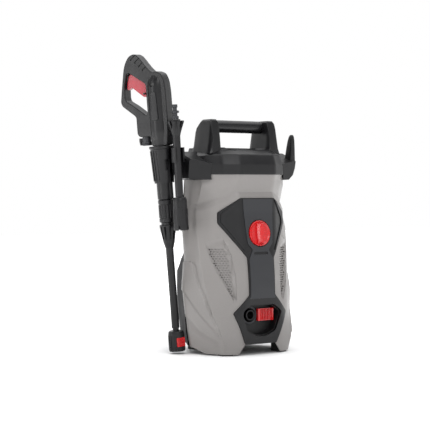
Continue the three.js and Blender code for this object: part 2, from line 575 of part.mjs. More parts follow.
// The cup's tapered wall has an opening on its outer front, and a lug that meets the bracket.
function addHolster() {
  const { top, foot, wide, narrow } = HOLSTER;
  const wall = 1.8;
  const lug = block(8, 34, -8, 8, -22, 18);
  const cup = bar(narrow / 2, foot, top, 0, 0, FINE, wide / 2)
    .add(pipe(wide / 2 + 1.5, wide / 2 - 1, top - 4, top, 0, 0, FINE))
    .add(lug)
    .subtract(bar(narrow / 2 - wall, foot - 1, top + 1, 0, 0, FINE, wide / 2 - wall))
    .subtract(prismZ([[0, 0], [60, -84], [6, -84]], foot - 2, top + 2));
  const flat = block(28, 60, -30, 30, -80, 80);
  add(gunLine, 'holster_cup', largest(cup.subtract(flat)), PAINT.black);
  // The spare lance's clip is a cradle that opens to the front.
  const arm = block(6, 22, 6, 15, 10, 40);
  const cradle = pipe(LANCE.tube / 2 + 4, LANCE.tube / 2 + GAP, 10, 40)
    .subtract(block(-LANCE.tube / 2 - GAP, LANCE.tube / 2 + GAP, -30, 0, 0, 60));
  add(spareLine, 'lance_clip', cradle.add(arm.subtract(bar(LANCE.tube / 2 + 2, 0, 60))), PAINT.black);
}

// The gun's side outline: [distance from the barrel line towards the grip, height along it].
const toGrip = (points) => points.map(([out, up]) => [-out, up]);
const GUN_BODY = [[-19, 40], [-23, 66], [-25, 96], [-25, 150], [-23, 172], [-17, 186], [-6, 191], [4, 190],
  [14, 200], [32, 224], [42, 230], [54, 226], [63, 214], [68, 201], [76, 158], [80, 133], [77, 125],
  [50, 104], [47, 100], [47, 66], [42, 60], [17, 60], [15, 40]];
const GUN_EYE = [[20, 106], [24, 104], [51, 125], [67, 135], [69, 142], [68, 168], [62, 190],
  [57, 192], [20, 167]];
const TRIGGER = [[17, 141], [29, 141], [56, 163], [63, 157], [66.5, 160], [65.5, 170], [60.5, 186], [56.5, 189.5],
  [17, 165]];

const gunPrism = (points, half) => prismY(toGrip(points), -half, half);

function gunForm() {
  const body = gunPrism(GUN_BODY, GUN.gripHalf);
  const barrel = bar(GUN.barrel / 2, -70, 40, 0, 0, FACETS)
    .add(bar(GUN.barrel / 2 + 1, 39, 70, 0, 0, FACETS, GUN.half + 1))
    .add(bar(GUN.half + 1, 70, 165)).add(bar(GUN.half + 1, 165, 186, 0, 0, FACETS, 12));
  return body.add(barrel);
}

function addGun() {
  const eye = gunPrism(GUN_EYE, 60);
  const chamber = bar(GUN.barrel / 2 - GUN.wall, -60, 150);
  const bore = bar(LANCE.tube / 2 + FIT, -80, 150);
  const slot = gunPrism([[10, 128], [30, 128], [62, 150], [68, 158], [66, 190], [60, 203],
    [20, 194], [10, 187]], 7);
  const inletPocket = gunPrism([[20, 50], [44, 50], [44, 92], [20, 92]], 10);
  const screws = [[2, 165], [9, 54]];
  let form = gunForm().subtract(pinHole(2.3, 12)).subtract(eye)
    .subtract(chamber).subtract(bore).subtract(slot).subtract(inletPocket);
  for (const [out, up] of screws) form = form.subtract(alongY(3.4, -40, 40, -out, up));
  add(gun, 'gun_half_left', largest(form.intersect(block(-200, 200, GAP / 2, 100, -200, 400))), PAINT.black);
  add(gun, 'gun_half_right', largest(form.intersect(block(-200, 200, -100, -GAP / 2, -200, 400))), PAINT.black);
  screws.forEach(([out, up], i) => {
    add(gun, `gun_screw_${i + 1}`, alongY(3, -GUN.half + 3, GUN.half - 3, -out, up), PAINT.steel);
  });
}

const alongY = (radius, y0, y1, x, z, sides = 16) => solid(
  new THREE.CylinderGeometry(radius, radius, y1 - y0, sides).translate(x, (y0 + y1) / 2, z));


const PIVOT = [26, 148];
const pinHole = (radius, half) => alongY(radius, -half, half, -PIVOT[0], PIVOT[1]);
const LOCK = [[36, 150], [54, 164.6], [51.5, 169], [33.5, 154.5]];

// The trigger and what it works, inside the two halves of the gun.
function addGunWorks() {
  const trigger = gunPrism(TRIGGER, 6).subtract(pinHole(2.3, 20))
    .subtract(gunPrism([[33, 138], [60, 158], [54, 171], [32, 156]], 3));
  add(gun, 'gun_trigger', largest(trigger), PAINT.crimson);
  add(gun, 'trigger_lock', gunPrism(LOCK, 2.4), PAINT.black);
  add(gun, 'trigger_pin', pinHole(2, 11.5), PAINT.steel);
  const valve = bar(12, 84, 124).add(bar(4, 123, 136)).subtract(bar(LANCE.bore / 2, 80, 110));
  add(gun, 'gun_valve', valve, PAINT.brass);
  const inlet = pipe(9, 4.5, 46, 90, -33, 0).add(pipe(10.5, 4.5, 42, 50, -33, 0));
  add(gun, 'gun_hose_inlet', inlet, PAINT.black);
  add(gun, 'hose_latch', gunPrism([[44.2, 43], [47, 43], [48.5, 58], [44.2, 58]], 5), PAINT.black);
}

const ringTop = -70.6;
const ringFoot = -116.5;
const collarTop = -122;
const collarFoot = -160.5;
const headFoot = -holsterZ + LANCE.clear;
const headTop = headFoot + LANCE.headLength;

// The fitted lance: a bayonet ring, a stem with a flared collar, and the adjustable nozzle.
function addLance() {
  const r = LANCE.tube / 2;
  add(gunLine, 'lance_ring', pipe(LANCE.ring / 2, r + GAP, ringFoot, ringTop, 0, 0, FINE), PAINT.black);
  const stem = turned([[LANCE.bore / 2, headTop + 6], [r - 1.5, headTop + 6], [r - 1.5, headTop - 16],
    [LANCE.bore / 2, headTop - 16], [LANCE.bore / 2, headTop + 6]].reverse())
    .add(pipe(r, LANCE.bore / 2, headTop + 6, -40))
    .add(turned([[LANCE.bore / 2 + 1, collarFoot], [11.5, collarFoot], [17, collarTop - 3], [17, collarTop],
      [13, collarTop], [13, ringFoot - GAP], [LANCE.bore / 2 + 1, ringFoot - GAP],
      [LANCE.bore / 2 + 1, collarFoot]]));
  add(gunLine, 'lance_stem', stem, PAINT.black);
  const head = pipe(LANCE.head / 2, r - 1.5 + GAP, headFoot, headTop, 0, 0, FINE);
  const turn = new THREE.Group();
  turn.rotation.z = degToRad(INSERT.turn);
  gunLine.add(turn);
  const half = INSERT.width / 2;
  const outer = LANCE.head / 2;
  const pocket = block(outer - 4, outer + 4, -half, half, headFoot + 10, headFoot + 10 + 2 * half);
  add(turn, 'nozzle_head', head.subtract(pocket), PAINT.black);
  add(turn, 'nozzle_insert', block(outer - 3.7, outer - 0.6, -half + GAP, half - GAP,
    headFoot + 10 + GAP, headFoot + 10 + 2 * half - GAP), PAINT.red);
}

// The spare lance: a bayonet plug, a short stem with a flared collar, and a detergent nozzle.
function addSpare() {
  const r = LANCE.tube / 2;
  const p = SPARE.plug / 2;
  const plug = turned([[LANCE.bore / 2, 97.3], [7, 97.3], [7, 103], [p - 1, 104], [p - 1, 109], [7.5, 110], [7.5, 114],
    [p - 1.5, 115], [p - 1.5, 120], [p, 121], [p, 127], [LANCE.bore / 2, 127], [LANCE.bore / 2, 97.3]]);
  add(spareLine, 'spare_plug', plug, PAINT.charcoal);
  const stem = pipe(r, LANCE.bore / 2, -60, 97).add(turned([[LANCE.bore / 2 + 1, 66], [r, 66], [17, 90], [17, 94], [10, 94],
    [10, 97], [LANCE.bore / 2 + 1, 97], [LANCE.bore / 2 + 1, 66]]));
  add(spareLine, 'spare_stem', stem, PAINT.black);
  const h = SPARE.head / 2;
  const head = turned([[LANCE.bore, -127], [h + 0.8, -127], [h, -112], [h - 0.5, -66], [h - 2, -60.5], [LANCE.bore, -60.5],
    [LANCE.bore, -127]], 0, 0, FINE);
  add(spareLine, 'spare_head', head, PAINT.black);
}

addShells();
addTrim();
addCover();
addWings();
addBase();
addControls();
addDrive();
addPump();
addConnections();
addHolster();
addGun();
addGunWorks();
addLance();
addSpare();

// The origin goes to the middle of the footprint.
const extent = new THREE.Box3().setFromObject(machine, true);
const middle = extent.getCenter(new THREE.Vector3());
machine.position.set(-middle.x, -middle.y, -extent.min.z);

export default machine;
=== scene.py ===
"""Looks for the upright pressure washer: its fine meshes and materials round the CAD frame.

Shapes are written in millimetres in the machine's own frame: X to the right, Y to the back, Z up,
with X = 0 in the machine's middle plane and Z = 0 on the floor. place() turns them into metres
in the frame's coordinates.
"""
import math

import bmesh
import bpy
from mathutils import Matrix, Vector


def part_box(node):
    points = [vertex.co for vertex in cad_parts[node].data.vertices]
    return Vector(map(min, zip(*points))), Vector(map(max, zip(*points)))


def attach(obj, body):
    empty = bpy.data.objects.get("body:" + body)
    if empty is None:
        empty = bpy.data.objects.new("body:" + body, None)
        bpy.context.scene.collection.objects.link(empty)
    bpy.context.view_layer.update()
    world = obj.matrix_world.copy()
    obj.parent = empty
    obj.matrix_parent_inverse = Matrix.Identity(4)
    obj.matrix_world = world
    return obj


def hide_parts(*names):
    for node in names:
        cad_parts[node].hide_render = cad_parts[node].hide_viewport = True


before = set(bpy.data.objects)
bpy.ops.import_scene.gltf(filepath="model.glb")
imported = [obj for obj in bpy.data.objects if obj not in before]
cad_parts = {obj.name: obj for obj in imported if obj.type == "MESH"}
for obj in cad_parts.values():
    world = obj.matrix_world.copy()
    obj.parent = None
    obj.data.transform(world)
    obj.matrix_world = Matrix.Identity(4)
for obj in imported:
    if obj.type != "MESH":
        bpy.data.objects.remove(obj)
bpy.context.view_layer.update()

MM = 0.001
BODY_HALF = 125.0
BODY_FRONT = 113.0
BODY_TOP = 369.0
BODY_FLOOR = 3
SHELL_WALL = 2.6
REAR_WALL = 2.8
COVER_WALL = 2.8
RECESS_ROOM = 2.6  # how much the opening in the shell is larger than the outlet cup
SIDES = ((-1, "left"), (1, "right"))

shell_low, shell_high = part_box("front_shell")
ORIGIN = Vector(((shell_low[0] + shell_high[0]) / 2 / MM, shell_low[1] / MM + BODY_FRONT, 0))


def turn(degrees, axis):
    return Matrix.Rotation(math.radians(degrees), 4, axis)


def line_at(x, y, z, degrees, axis):
    """A frame at a point, turned round one axis."""
    return Matrix.Translation((x, y, z)) @ turn(degrees, axis)


HOLSTER = {"out": 41.6, "y": 0.3, "rise": 19, "lean": 5.12}
SPARE = {"out": 33, "y": -41.8, "rise": 14, "lean": 3.55}
GUN_YAW = -60


def leaning(seat):
    """A frame beside the housing with its Z up the gun, or up the spare lance."""
    return line_at(-(BODY_HALF + seat["out"]), seat["y"], BODY_TOP + seat["rise"], -seat["lean"], "Y")


BODY = Matrix.Identity(4)
GUN_LINE = leaning(HOLSTER)
GUN = GUN_LINE @ turn(GUN_YAW, "Z")
SPARE_LINE = leaning(SPARE)


# ---------------------------------------------------------------- making meshes

def place(point, where=BODY):
    """A point in millimetres in one of the frames above, in metres in the CAD frame."""
    return (where @ Vector(point) + ORIGIN) * MM


def build(name, points, faces, where=BODY):
    mesh = bpy.data.meshes.new(name)
    mesh.from_pydata([place(p, where) for p in points], [], faces)
    mesh.update()
    piece = bpy.data.objects.new(name, mesh)
    bpy.context.scene.collection.objects.link(piece)
    return piece


def outward(mesh):
    """Points the faces of a closed mesh outward."""
    bmesh.ops.recalc_face_normals(mesh, faces=mesh.faces)
    if mesh.calc_volume(signed=True) < 0:
        bmesh.ops.reverse_faces(mesh, faces=mesh.faces)


def rework(piece, work):
    """Passes the piece's mesh through a function that edits it."""
    mesh = bmesh.new()
    mesh.from_mesh(piece.data)
    work(mesh)
    mesh.to_mesh(piece.data)
    mesh.free()
    return piece


def settle(piece):
    """Applies the piece's modifiers."""
    graph = bpy.context.evaluated_depsgraph_get()
    mesh = bpy.data.meshes.new_from_object(piece.evaluated_get(graph))
    piece.modifiers.clear()
    old = piece.data
    piece.data = mesh
    bpy.data.meshes.remove(old)
    return piece


def drop(piece):
    mesh = piece.data
    bpy.data.objects.remove(piece)
    bpy.data.meshes.remove(mesh)


def combine(piece, others, operation):
    for other in others:
        step = piece.modifiers.new("combine", "BOOLEAN")
        step.operation = operation
        step.solver = "EXACT"
        step.object = other
        settle(piece)
        drop(other)
    return piece


def cut(piece, *others):
    return combine(piece, others, "DIFFERENCE")


def join(piece, *others):
    return combine(piece, others, "UNION")


def keep_inside(piece, *others):
    return combine(piece, others, "INTERSECT")


def soften(piece, width, segments=2, angle=35, flat=0.5):
    """Rounds the edges that are sharper than an angle; the width is in millimetres."""
    tidy(piece, 0.02, flat)
    step = piece.modifiers.new("soften", "BEVEL")
    step.width = width * MM
    step.segments = segments
    step.limit_method = "ANGLE"
    step.angle_limit = math.radians(angle)
    step.use_clamp_overlap = True
    return settle(piece)


def tidy(piece, distance=0.02, flat=0.5):
    """Merges doubled points and clears flat inner edges, then points the faces outward."""
    def work(mesh):
        bmesh.ops.remove_doubles(mesh, verts=mesh.verts, dist=distance * MM)
        if flat:
            limit = math.radians(flat)
            bmesh.ops.dissolve_limit(mesh, angle_limit=limit, verts=mesh.verts, edges=mesh.edges)
        outward(mesh)
    return rework(piece, work)


def shade(piece, angle=38):
    """Smooth shading, with the edges sharper than an angle kept sharp."""
    limit = math.radians(angle)

    def work(mesh):
        for face in mesh.faces:
            face.smooth = True
        for edge in mesh.edges:
            edge.smooth = len(edge.link_faces) == 2 and edge.calc_face_angle(math.pi) < limit
    rework(piece, work)
    step = piece.modifiers.new("normals", "WEIGHTED_NORMAL")
    step.keep_sharp = True
    step.weight = 60
    return settle(piece)


def finish(piece, body, material, replaces=(), angle=38):
    """The last step for each piece: shading, material, body and the CAD nodes it stands for."""
    shade(piece, angle)
    piece.data.materials.clear()
    piece.data.materials.append(material)
    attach(piece, body)
    if replaces:
        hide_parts(*replaces)
    return piece


def signed_area(outline):
    return sum(a[0] * b[1] - b[0] * a[1] for a, b in zip(outline, outline[1:] + outline[:1])) / 2


def ordered(outline):
    """The outline as a list that runs counter-clockwise."""
    points = list(outline)
    return points if signed_area(points) > 0 else points[::-1]


SPREAD = {
    "X": lambda a, b, c: (c, a, b),
    "Y": lambda a, b, c: (a, c, b),
    "Z": lambda a, b, c: (a, b, c),
}


def prism(name, outline, low, high, axis="Z", where=BODY):
    """A flat outline, in the two other coordinates in order, carried along an axis."""
    loop = ordered(outline)
    count = len(loop)
    points = [SPREAD[axis](a, b, c) for c in (low, high) for a, b in loop]
    faces = [tuple(range(count))[::-1], tuple(range(count, 2 * count))]
    faces += [(i, (i + 1) % count, (i + 1) % count + count, i + count) for i in range(count)]
    piece = build(name, points, faces, where)
    return tidy(piece, 0.001)


def block(name, x0, x1, y0, y1, z0, z1, where=BODY):
    return prism(name, [(x0, y0), (x1, y0), (x1, y1), (x0, y1)], z0, z1, "Z", where)


def rod(name, radius, low, high, where=BODY, sides=48):
    return lathe(name, [(0, low), (radius, low), (radius, high), (0, high)], where, sides)


SAME_POINT = 0.0005 * MM


def bands(rows, count):
    """The faces between rows of points that each close on themselves."""
    faces = []
    for row in range(rows - 1):
        for i in range(count):
            a, b = row * count + i, row * count + (i + 1) % count
            faces.append((a, b, b + count, a + count))
    return faces


def lathe(name, profile, where=BODY, sides=48):
    """A profile of (radius, z) turned round a line along Z. It starts and ends on the axis,
    or closes on itself."""
    turns = [math.tau * i / sides for i in range(sides)]
    points = [(r * math.cos(angle), r * math.sin(angle), z) for r, z in profile for angle in turns]

    def work(mesh):
        bmesh.ops.remove_doubles(mesh, verts=mesh.verts, dist=SAME_POINT)
        bmesh.ops.dissolve_degenerate(mesh, dist=SAME_POINT, edges=mesh.edges)
        outward(mesh)
    return rework(build(name, points, bands(len(profile), sides), where), work)


def loft(name, rows, where=BODY):
    """A skin through closed outlines of 3-D points that all have the same number of points."""
    count = len(rows[0])
    points = [p for row in rows for p in row]
    ends = [tuple(range(count))[::-1], tuple(range(len(points) - count, len(points)))]
    return rework(build(name, points, bands(len(rows), count) + ends, where), outward)


def rounded(outline, radius, steps=4):
    """A closed outline with its corners rounded; radius is one number or one for each corner."""
    count = len(outline)
    radii = radius if isinstance(radius, (list, tuple)) else [radius] * count
    result = []
    for i, corner in enumerate(outline):
        here = Vector(corner)
        before = Vector(outline[i - 1]) - here
        after = Vector(outline[(i + 1) % count]) - here
        reach = min(radii[i], before.length * 0.45, after.length * 0.45)
        start = here + before.normalized() * reach
        end = here + after.normalized() * reach
        for k in range(steps + 1):
            t = k / steps
            result.append(tuple((1 - t) ** 2 * start + 2 * t * (1 - t) * here + t ** 2 * end))
    return result


def both(half):
    """The whole outline from its +X half."""
    return list(half) + [(-x, z) for x, z in reversed(half) if x > 0]


# ---------------------------------------------------------------- materials

def linear(red, green, blue):
    """A colour given as 0 to 255 values on screen, as the shader's linear values."""
    def one(value):
        value /= 255
        return value / 12.92 if value <= 0.04045 else ((value + 0.055) / 1.055) ** 2.4
    return (one(red), one(green), one(blue), 1)


def set_sockets(node, values):
    for socket, value in values.items():
        node.inputs[socket].default_value = value


class Nodes:
    """A few short calls for making a node material."""

    def __init__(self, name):
        self.material = bpy.data.materials.new(name)
        self.material.use_nodes = True
        self.tree = self.material.node_tree
        self.shader = self.tree.nodes["Principled BSDF"]
        self.place = self.add("ShaderNodeTexCoord").outputs["Object"]

    def add(self, kind, values=None):
        node = self.tree.nodes.new(kind)
        set_sockets(node, values or {})
        return node

    def link(self, output, socket):
        self.tree.links.new(output, socket)

    def noise(self, scale, detail=3.0, roughness=0.5, stretch=None):
        node = self.add("ShaderNodeTexNoise", {"Scale": scale, "Detail": detail, "Roughness": roughness})
        source = self.place
        if stretch:
            mapping = self.add("ShaderNodeMapping", {"Scale": stretch})
            self.link(self.place, mapping.inputs["Vector"])
            source = mapping.outputs["Vector"]
        self.link(source, node.inputs["Vector"])
        return node.outputs["Fac"]

    def spread(self, value, low, high, out_low, out_high):
        ends = {"From Min": low, "From Max": high, "To Min": out_low, "To Max": out_high}
        node = self.add("ShaderNodeMapRange", ends)
        self.link(value, node.inputs["Value"])
        return node.outputs["Result"]

    def blend(self, factor, first, second):
        node = self.add("ShaderNodeMix")
        node.data_type = "RGBA"
        self.link(factor, node.inputs["Factor"])
        for value, socket in ((first, node.inputs["A"]), (second, node.inputs["B"])):
            if isinstance(value, tuple):
                socket.default_value = value
            else:
                self.link(value, socket)
        return node.outputs["Result"]

    def edges(self, low, high):
        """How much the surface stands out at a point, from 0 on a flat to 1 on a worn edge."""
        node = self.add("ShaderNodeNewGeometry")
        return self.spread(node.outputs["Pointiness"], low, high, 0, 1)

    def bump(self, height, strength, distance, before=None):
        node = self.add("ShaderNodeBump", {"Strength": strength, "Distance": distance})
        self.link(height, node.inputs["Height"])
        if before is not None:
            self.link(before, node.inputs["Normal"])
        return node.outputs["Normal"]


def shifted(colour, factor):
    return tuple(min(1.0, c * factor) for c in colour[:3]) + (1,)


def moulded(name, colour, roughness, grain=1400, texture=0.25, cloud=0.07, wear=0.2, coat=0.0, gloss=0.35):
    """Moulded plastic: a slightly uneven colour, a fine spark texture and rubbed edges."""
    nodes = Nodes(name)
    shader = nodes.shader
    cloudy = nodes.spread(nodes.noise(14, 4, 0.6), 0.3, 0.7, 0, 1)
    tone = nodes.blend(cloudy, shifted(colour, 1 - cloud), shifted(colour, 1 + cloud))
    specks = nodes.spread(nodes.noise(grain, 2, 0.7), 0.35, 0.65, 0, 1)
    tone = nodes.blend(nodes.spread(specks, 0, 1, 0, 0.35), tone, shifted(colour, 1.22))
    rub = nodes.spread(nodes.edges(0.52, 0.6), 0, 1, 0, wear)
    tone = nodes.blend(rub, tone, shifted(colour, 1.9))
    nodes.link(tone, shader.inputs["Base Color"])
    smudge = nodes.spread(nodes.noise(35, 5, 0.65), 0.3, 0.75, roughness - 0.06, roughness + 0.08)
    nodes.link(smudge, shader.inputs["Roughness"])
    flow = nodes.bump(nodes.noise(60, 2, 0.5), 0.05, 0.0006)
    nodes.link(nodes.bump(nodes.noise(grain, 3, 0.6), texture, 0.00012, flow), shader.inputs["Normal"])
    set_sockets(shader, {"Coat Weight": coat, "Coat Roughness": 0.15, "Specular IOR Level": gloss})
    return nodes.material


def metal(name, colour, roughness, brush=(1, 1, 40), dirt=0.35):
    """Machined or cast metal, with fine marks one way and a little grime."""
    nodes = Nodes(name)
    shader = nodes.shader
    marks = nodes.noise(180, 4, 0.7, brush)
    grime = nodes.spread(nodes.noise(40, 5, 0.6), 0.45, 0.75, 0, dirt)
    tone = nodes.blend(nodes.spread(marks, 0.3, 0.7, 0, 1), shifted(colour, 0.85), shifted(colour, 1.1))
    nodes.link(nodes.blend(grime, tone, shifted(colour, 0.35)), shader.inputs["Base Color"])
    nodes.link(nodes.spread(marks, 0.3, 0.7, roughness - 0.08, roughness + 0.12),
        shader.inputs["Roughness"])
    nodes.link(nodes.bump(marks, 0.12, 0.0002), shader.inputs["Normal"])
    shader.inputs["Metallic"].default_value = 1.0
    return nodes.material


SHELL_GREY = moulded("shell grey plastic", linear(124, 121, 119), 0.4, 900, 0.12, 0.025, 0.12, 0.15)
MATT_BLACK = moulded("matt black plastic", linear(16, 16, 18), 0.6, 900, 0.3, 0.08, 0.1, 0, 0.12)
BLACK = moulded("black plastic", linear(12, 12, 14), 0.38, 1100, 0.3, 0.08, 0.25)
GUN_BLACK = moulded("gun black plastic", linear(9, 9, 11), 0.32, 1300, 0.22, 0.08, 0.25)
CHARCOAL = moulded("charcoal panel plastic", linear(41, 42, 45), 0.42, 1200, 0.25, 0.04, 0.2)
GRIP = moulded("grip plastic", linear(16, 16, 18), 0.28, 1500, 0.18, 0.05, 0.2)
DEEP = moulded("recess black plastic", linear(9, 9, 10), 0.5, 1100, 0.3, 0.08, 0.1)
RED = moulded("red plastic", linear(182, 14, 18), 0.24, 800, 0.03, 0.02, 0.0, 0.4)
CRIMSON = moulded("crimson plastic", linear(146, 8, 32), 0.32, 800, 0.08, 0.04, 0.1, 0.3)
RUBBER = moulded("rubber", linear(26, 26, 26), 0.72, 700, 0.4, 0.15, 0.1)
NYLON = moulded("nylon", linear(214, 208, 190), 0.5, 700, 0.12, 0.04, 0.05)
STEEL = metal("machined steel", (0.56, 0.57, 0.58, 1), 0.32)
ALUMINIUM = metal("cast aluminium", (0.66, 0.66, 0.67, 1), 0.48, (1, 1, 1))
DARK_STEEL = metal("blackened steel", (0.06, 0.06, 0.06, 1), 0.45)
BRASS = metal("turned brass", (0.72, 0.48, 0.2, 1), 0.3)
COPPER = metal("copper windings", (0.62, 0.28, 0.14, 1), 0.4, (1, 1, 120))


# ---------------------------------------------------------------- stage, light and camera

VIEW_TURN = -34.5  # degrees round from the front, towards the holster side
CAMERA_DISTANCE = 2750
CAMERA_HEIGHT = 343.5
CAMERA_SIDE = -31.7
CAMERA_PITCH = 1.234
CAMERA_LENS = 108.84
SENSOR_WIDTH = 36
CAMERA_REACH = 50  # metres


def make_camera():
    data = bpy.data.cameras.new("camera")
    data.sensor_width = SENSOR_WIDTH
    data.lens = CAMERA_LENS
    camera = bpy.data.objects.new("camera", data)
    angle = math.radians(VIEW_TURN)
    right = Vector((math.cos(angle), math.sin(angle), 0))
    ahead = Vector((-math.sin(angle), math.cos(angle), 0))
    spot = -ahead * CAMERA_DISTANCE + right * CAMERA_SIDE + Vector((0, 0, CAMERA_HEIGHT))
    camera.location = place(spot)
    camera.rotation_euler = (math.radians(90 - CAMERA_PITCH), 0, angle)
    bpy.context.scene.collection.objects.link(camera)
    bpy.context.scene.camera = camera
    data.clip_end = CAMERA_REACH
    return right, ahead


def panel_light(name, side, ahead, up, size, power, aim=(0, 0, 250)):
    """A soft panel at a place in mm: to the view's right, away from the camera and up."""
    data = bpy.data.lights.new(name, "AREA")
    data.shape = "RECTANGLE"
    data.size, data.size_y = size
    data.energy = power
    light = bpy.data.objects.new(name, data)
    spot = place(RIGHT * side + AHEAD * ahead + Vector((0, 0, up)))
    light.location = spot
    light.rotation_euler = (spot - place(aim)).to_track_quat("Z", "Y").to_euler()
    bpy.context.scene.collection.objects.link(light)


def make_stage():
    floor = build("floor", [(-6000, -6000, 0), (6000, -6000, 0), (6000, 6000, 0), (-6000, 6000, 0)],
        [(0, 1, 2, 3)])
    nodes = Nodes("pale floor")
    reach = nodes.add("ShaderNodeVectorMath")
    reach.operation = "LENGTH"
    nodes.link(nodes.place, reach.inputs["Vector"])
    far = nodes.spread(reach.outputs["Value"], 0.4, 1.1, 0, 1)
    nodes.link(far, nodes.shader.inputs["Emission Strength"])
    tone = nodes.spread(nodes.noise(3, 3), 0.3, 0.7, 0, 1)
    nodes.link(nodes.blend(tone, (0.93, 0.93, 0.93, 1), (0.95, 0.95, 0.95, 1)),
        nodes.shader.inputs["Base Color"])
    plain = {"Emission Color": (1, 1, 1, 1), "Roughness": 0.9, "Specular IOR Level": 0.1}
    set_sockets(nodes.shader, plain)
    floor.data.materials.append(nodes.material)
    world = bpy.data.worlds.new("studio")
    world.use_nodes = True
    bpy.context.scene.world = world
    light_world(world.node_tree)


def light_world(tree):
    """A studio that is dim at the sides and overhead, and white behind the object all round the horizon."""
    background = tree.nodes["Background"]
    background.inputs["Strength"].default_value = 1.0
    direction = tree.nodes.new("ShaderNodeTexCoord").outputs["Generated"]
    split = tree.nodes.new("ShaderNodeSeparateXYZ")
    tree.links.new(direction, split.inputs["Vector"])
    ramp = tree.nodes.new("ShaderNodeValToRGB")
    tree.links.new(split.outputs["Z"], ramp.inputs["Fac"])
    stops = ramp.color_ramp.elements
    stops[0].position, stops[0].color = 0.24, (1.0, 1.0, 1.0, 1)
    stops[1].position, stops[1].color = 0.5, (0.42, 0.42, 0.43, 1)
    tree.links.new(ramp.outputs["Color"], background.inputs["Color"])


RIGHT, AHEAD = make_camera()
make_stage()
panel_light("key", 500, -2200, 1700, (1.0, 1.0), 14)
panel_light("top", 0, 200, 2600, (4.5, 4.5), 105)
panel_light("streak", -1500, -900, 700, (0.25, 1.6), 7)
bpy.context.scene.view_settings.view_transform = "Standard"


# ---------------------------------------------------------------- housing outlines

# The housing's plan at each height, on the +X side, from the middle of the front to the seam:
# the flat face, the brow, the facet crease, the widest line and the seam. Each is (x, y).
FRONT_ROWS = [
    (3, [(54, -107), (68, -103), (83, -94), (116, -27), (112, -14)]),
    (40, [(52, -110), (72, -104), (89, -98), (123, -23), (118, -12)]),
    (87, [(50, -112), (76, -99), (99.4, -79.6), (125, -17), (120, -8)]),
    (132, [(34, -113), (78, -94), (107.3, -69), (125, -9), (120, 0)]),
    (165, [(34, -111), (79, -89), (109.3, -58), (121, -9), (117, 1)]),
    (193, [(34, -108), (80, -84), (112, -52), (118, -9), (115, 3)]),
    (207, [(35, -106.3), (81, -82), (112.4, -51), (118, -7), (115, 3.5)]),
    (253, [(40, -100.5), (84, -74), (114, -44), (120, -2), (117, 6)]),
    (292, [(42, -96), (82, -72), (112, -38), (119, -5), (116, 6)]),
    (321, [(44, -94.5), (81, -71), (111.5, -37), (117.5, -8), (114, 6)]),
    (333, [(44.5, -88.5), (78, -65.5), (106, -33), (114, -10), (113, 6)]),
    (369, [(44, -99), (75, -79), (104, -48), (111, -14), (111, 6)]),
]


def blend(first, second, share):
    return [(a[0] + (b[0] - a[0]) * share, a[1] + (b[1] - a[1]) * share) for a, b in zip(first, second)]


def front_at(height):
    """The front housing's half plan at a height, between the rows above."""
    rows = FRONT_ROWS
    if height <= rows[0][0]:
        return rows[0][1]
    for (low, first), (high, second) in zip(rows, rows[1:]):
        if height <= high:
            return blend(first, second, (height - low) / (high - low))
    return rows[-1][1]


def offset(outline, distance):
    """A closed counter-clockwise outline grown outward by a distance."""
    count = len(outline)
    result = []
    for i, (x, y) in enumerate(outline):
        ax, ay = outline[i - 1]
        bx, by = outline[(i + 1) % count]
        first = Vector((y - ay, ax - x)).normalized()
        second = Vector((by - y, x - bx)).normalized()
        reach = distance / (1 + first.dot(second))
        result.append((x + (first.x + second.x) * reach, y + (first.y + second.y) * reach))
    return result


def front_outline(height, distance, back):
    """The whole outline of the front housing at a height, grown by a distance and closed at the back."""
    half = [(0, front_at(height)[0][1])] + front_at(height)
    edge = half[-1][0]
    whole = half + [(edge, back + 0.01), (-edge, back + 0.01)]
    whole += [(-x, y) for x, y in reversed(half[1:])]
    return offset(whole, distance)


def front_loft(name, distance, heights, back):
    return loft(name, [[(x, y, z) for x, y in front_outline(z, distance, back)] for z in heights])


VENT = [(76, 242), (61, 204), (56, 160), (56, 117), (62, 107), (85, 158), (99, 204), (103, 230)]
KNOB_Z = BODY_TOP - 121
KNOB_LEAN = 6.8
KNOB_Y = -98
KNOB_LINE = line_at(0, KNOB_Y, KNOB_Z, 90 - KNOB_LEAN, "X")


# ---------------------------------------------------------------- housing surface

CREASED_FROM = 292  # above this height the rows meet in creases; below it they flow
CORNER_ROUND = [7, 10, 2.0, 16]  # at the face edge, the brow, the facet crease and the widest line
# The raised fender on the flank and the low crease, as (height, share of the way from the facet
# crease to the widest line).
BLADE = [(26, -0.02), (35, 0.02), (78, 0.06), (119, 0.13), (155, 0.33), (180, 0.42), (188, 0.5),
    (190, 0.75)]
BLADE_LOW = [(26, -0.02), (54, 0.2), (82, 0.48), (104, 0.7), (123, 0.92), (128, 1.05)]
BLADE_RISE = 2.2
GROOVE_DEPTH = 1.6
UNDERCUT = [(3, -0.4), (26, -0.02), (34.5, 0.28), (50, 0.605), (70, 0.82), (80, 1.02)]
UNDERCUT_SLOPE = 0.12
UNDERCUT_MOST = 2.4
CREASE_BEAD = 0.9
BEAD_WIDTH = 1.6
FENDER_TOP = 190
FENDER_EDGE = 2.4
GROOVE_WIDTH = 9.0
SHOULDER_FROM = 250
SHOULDER_FALL = 24


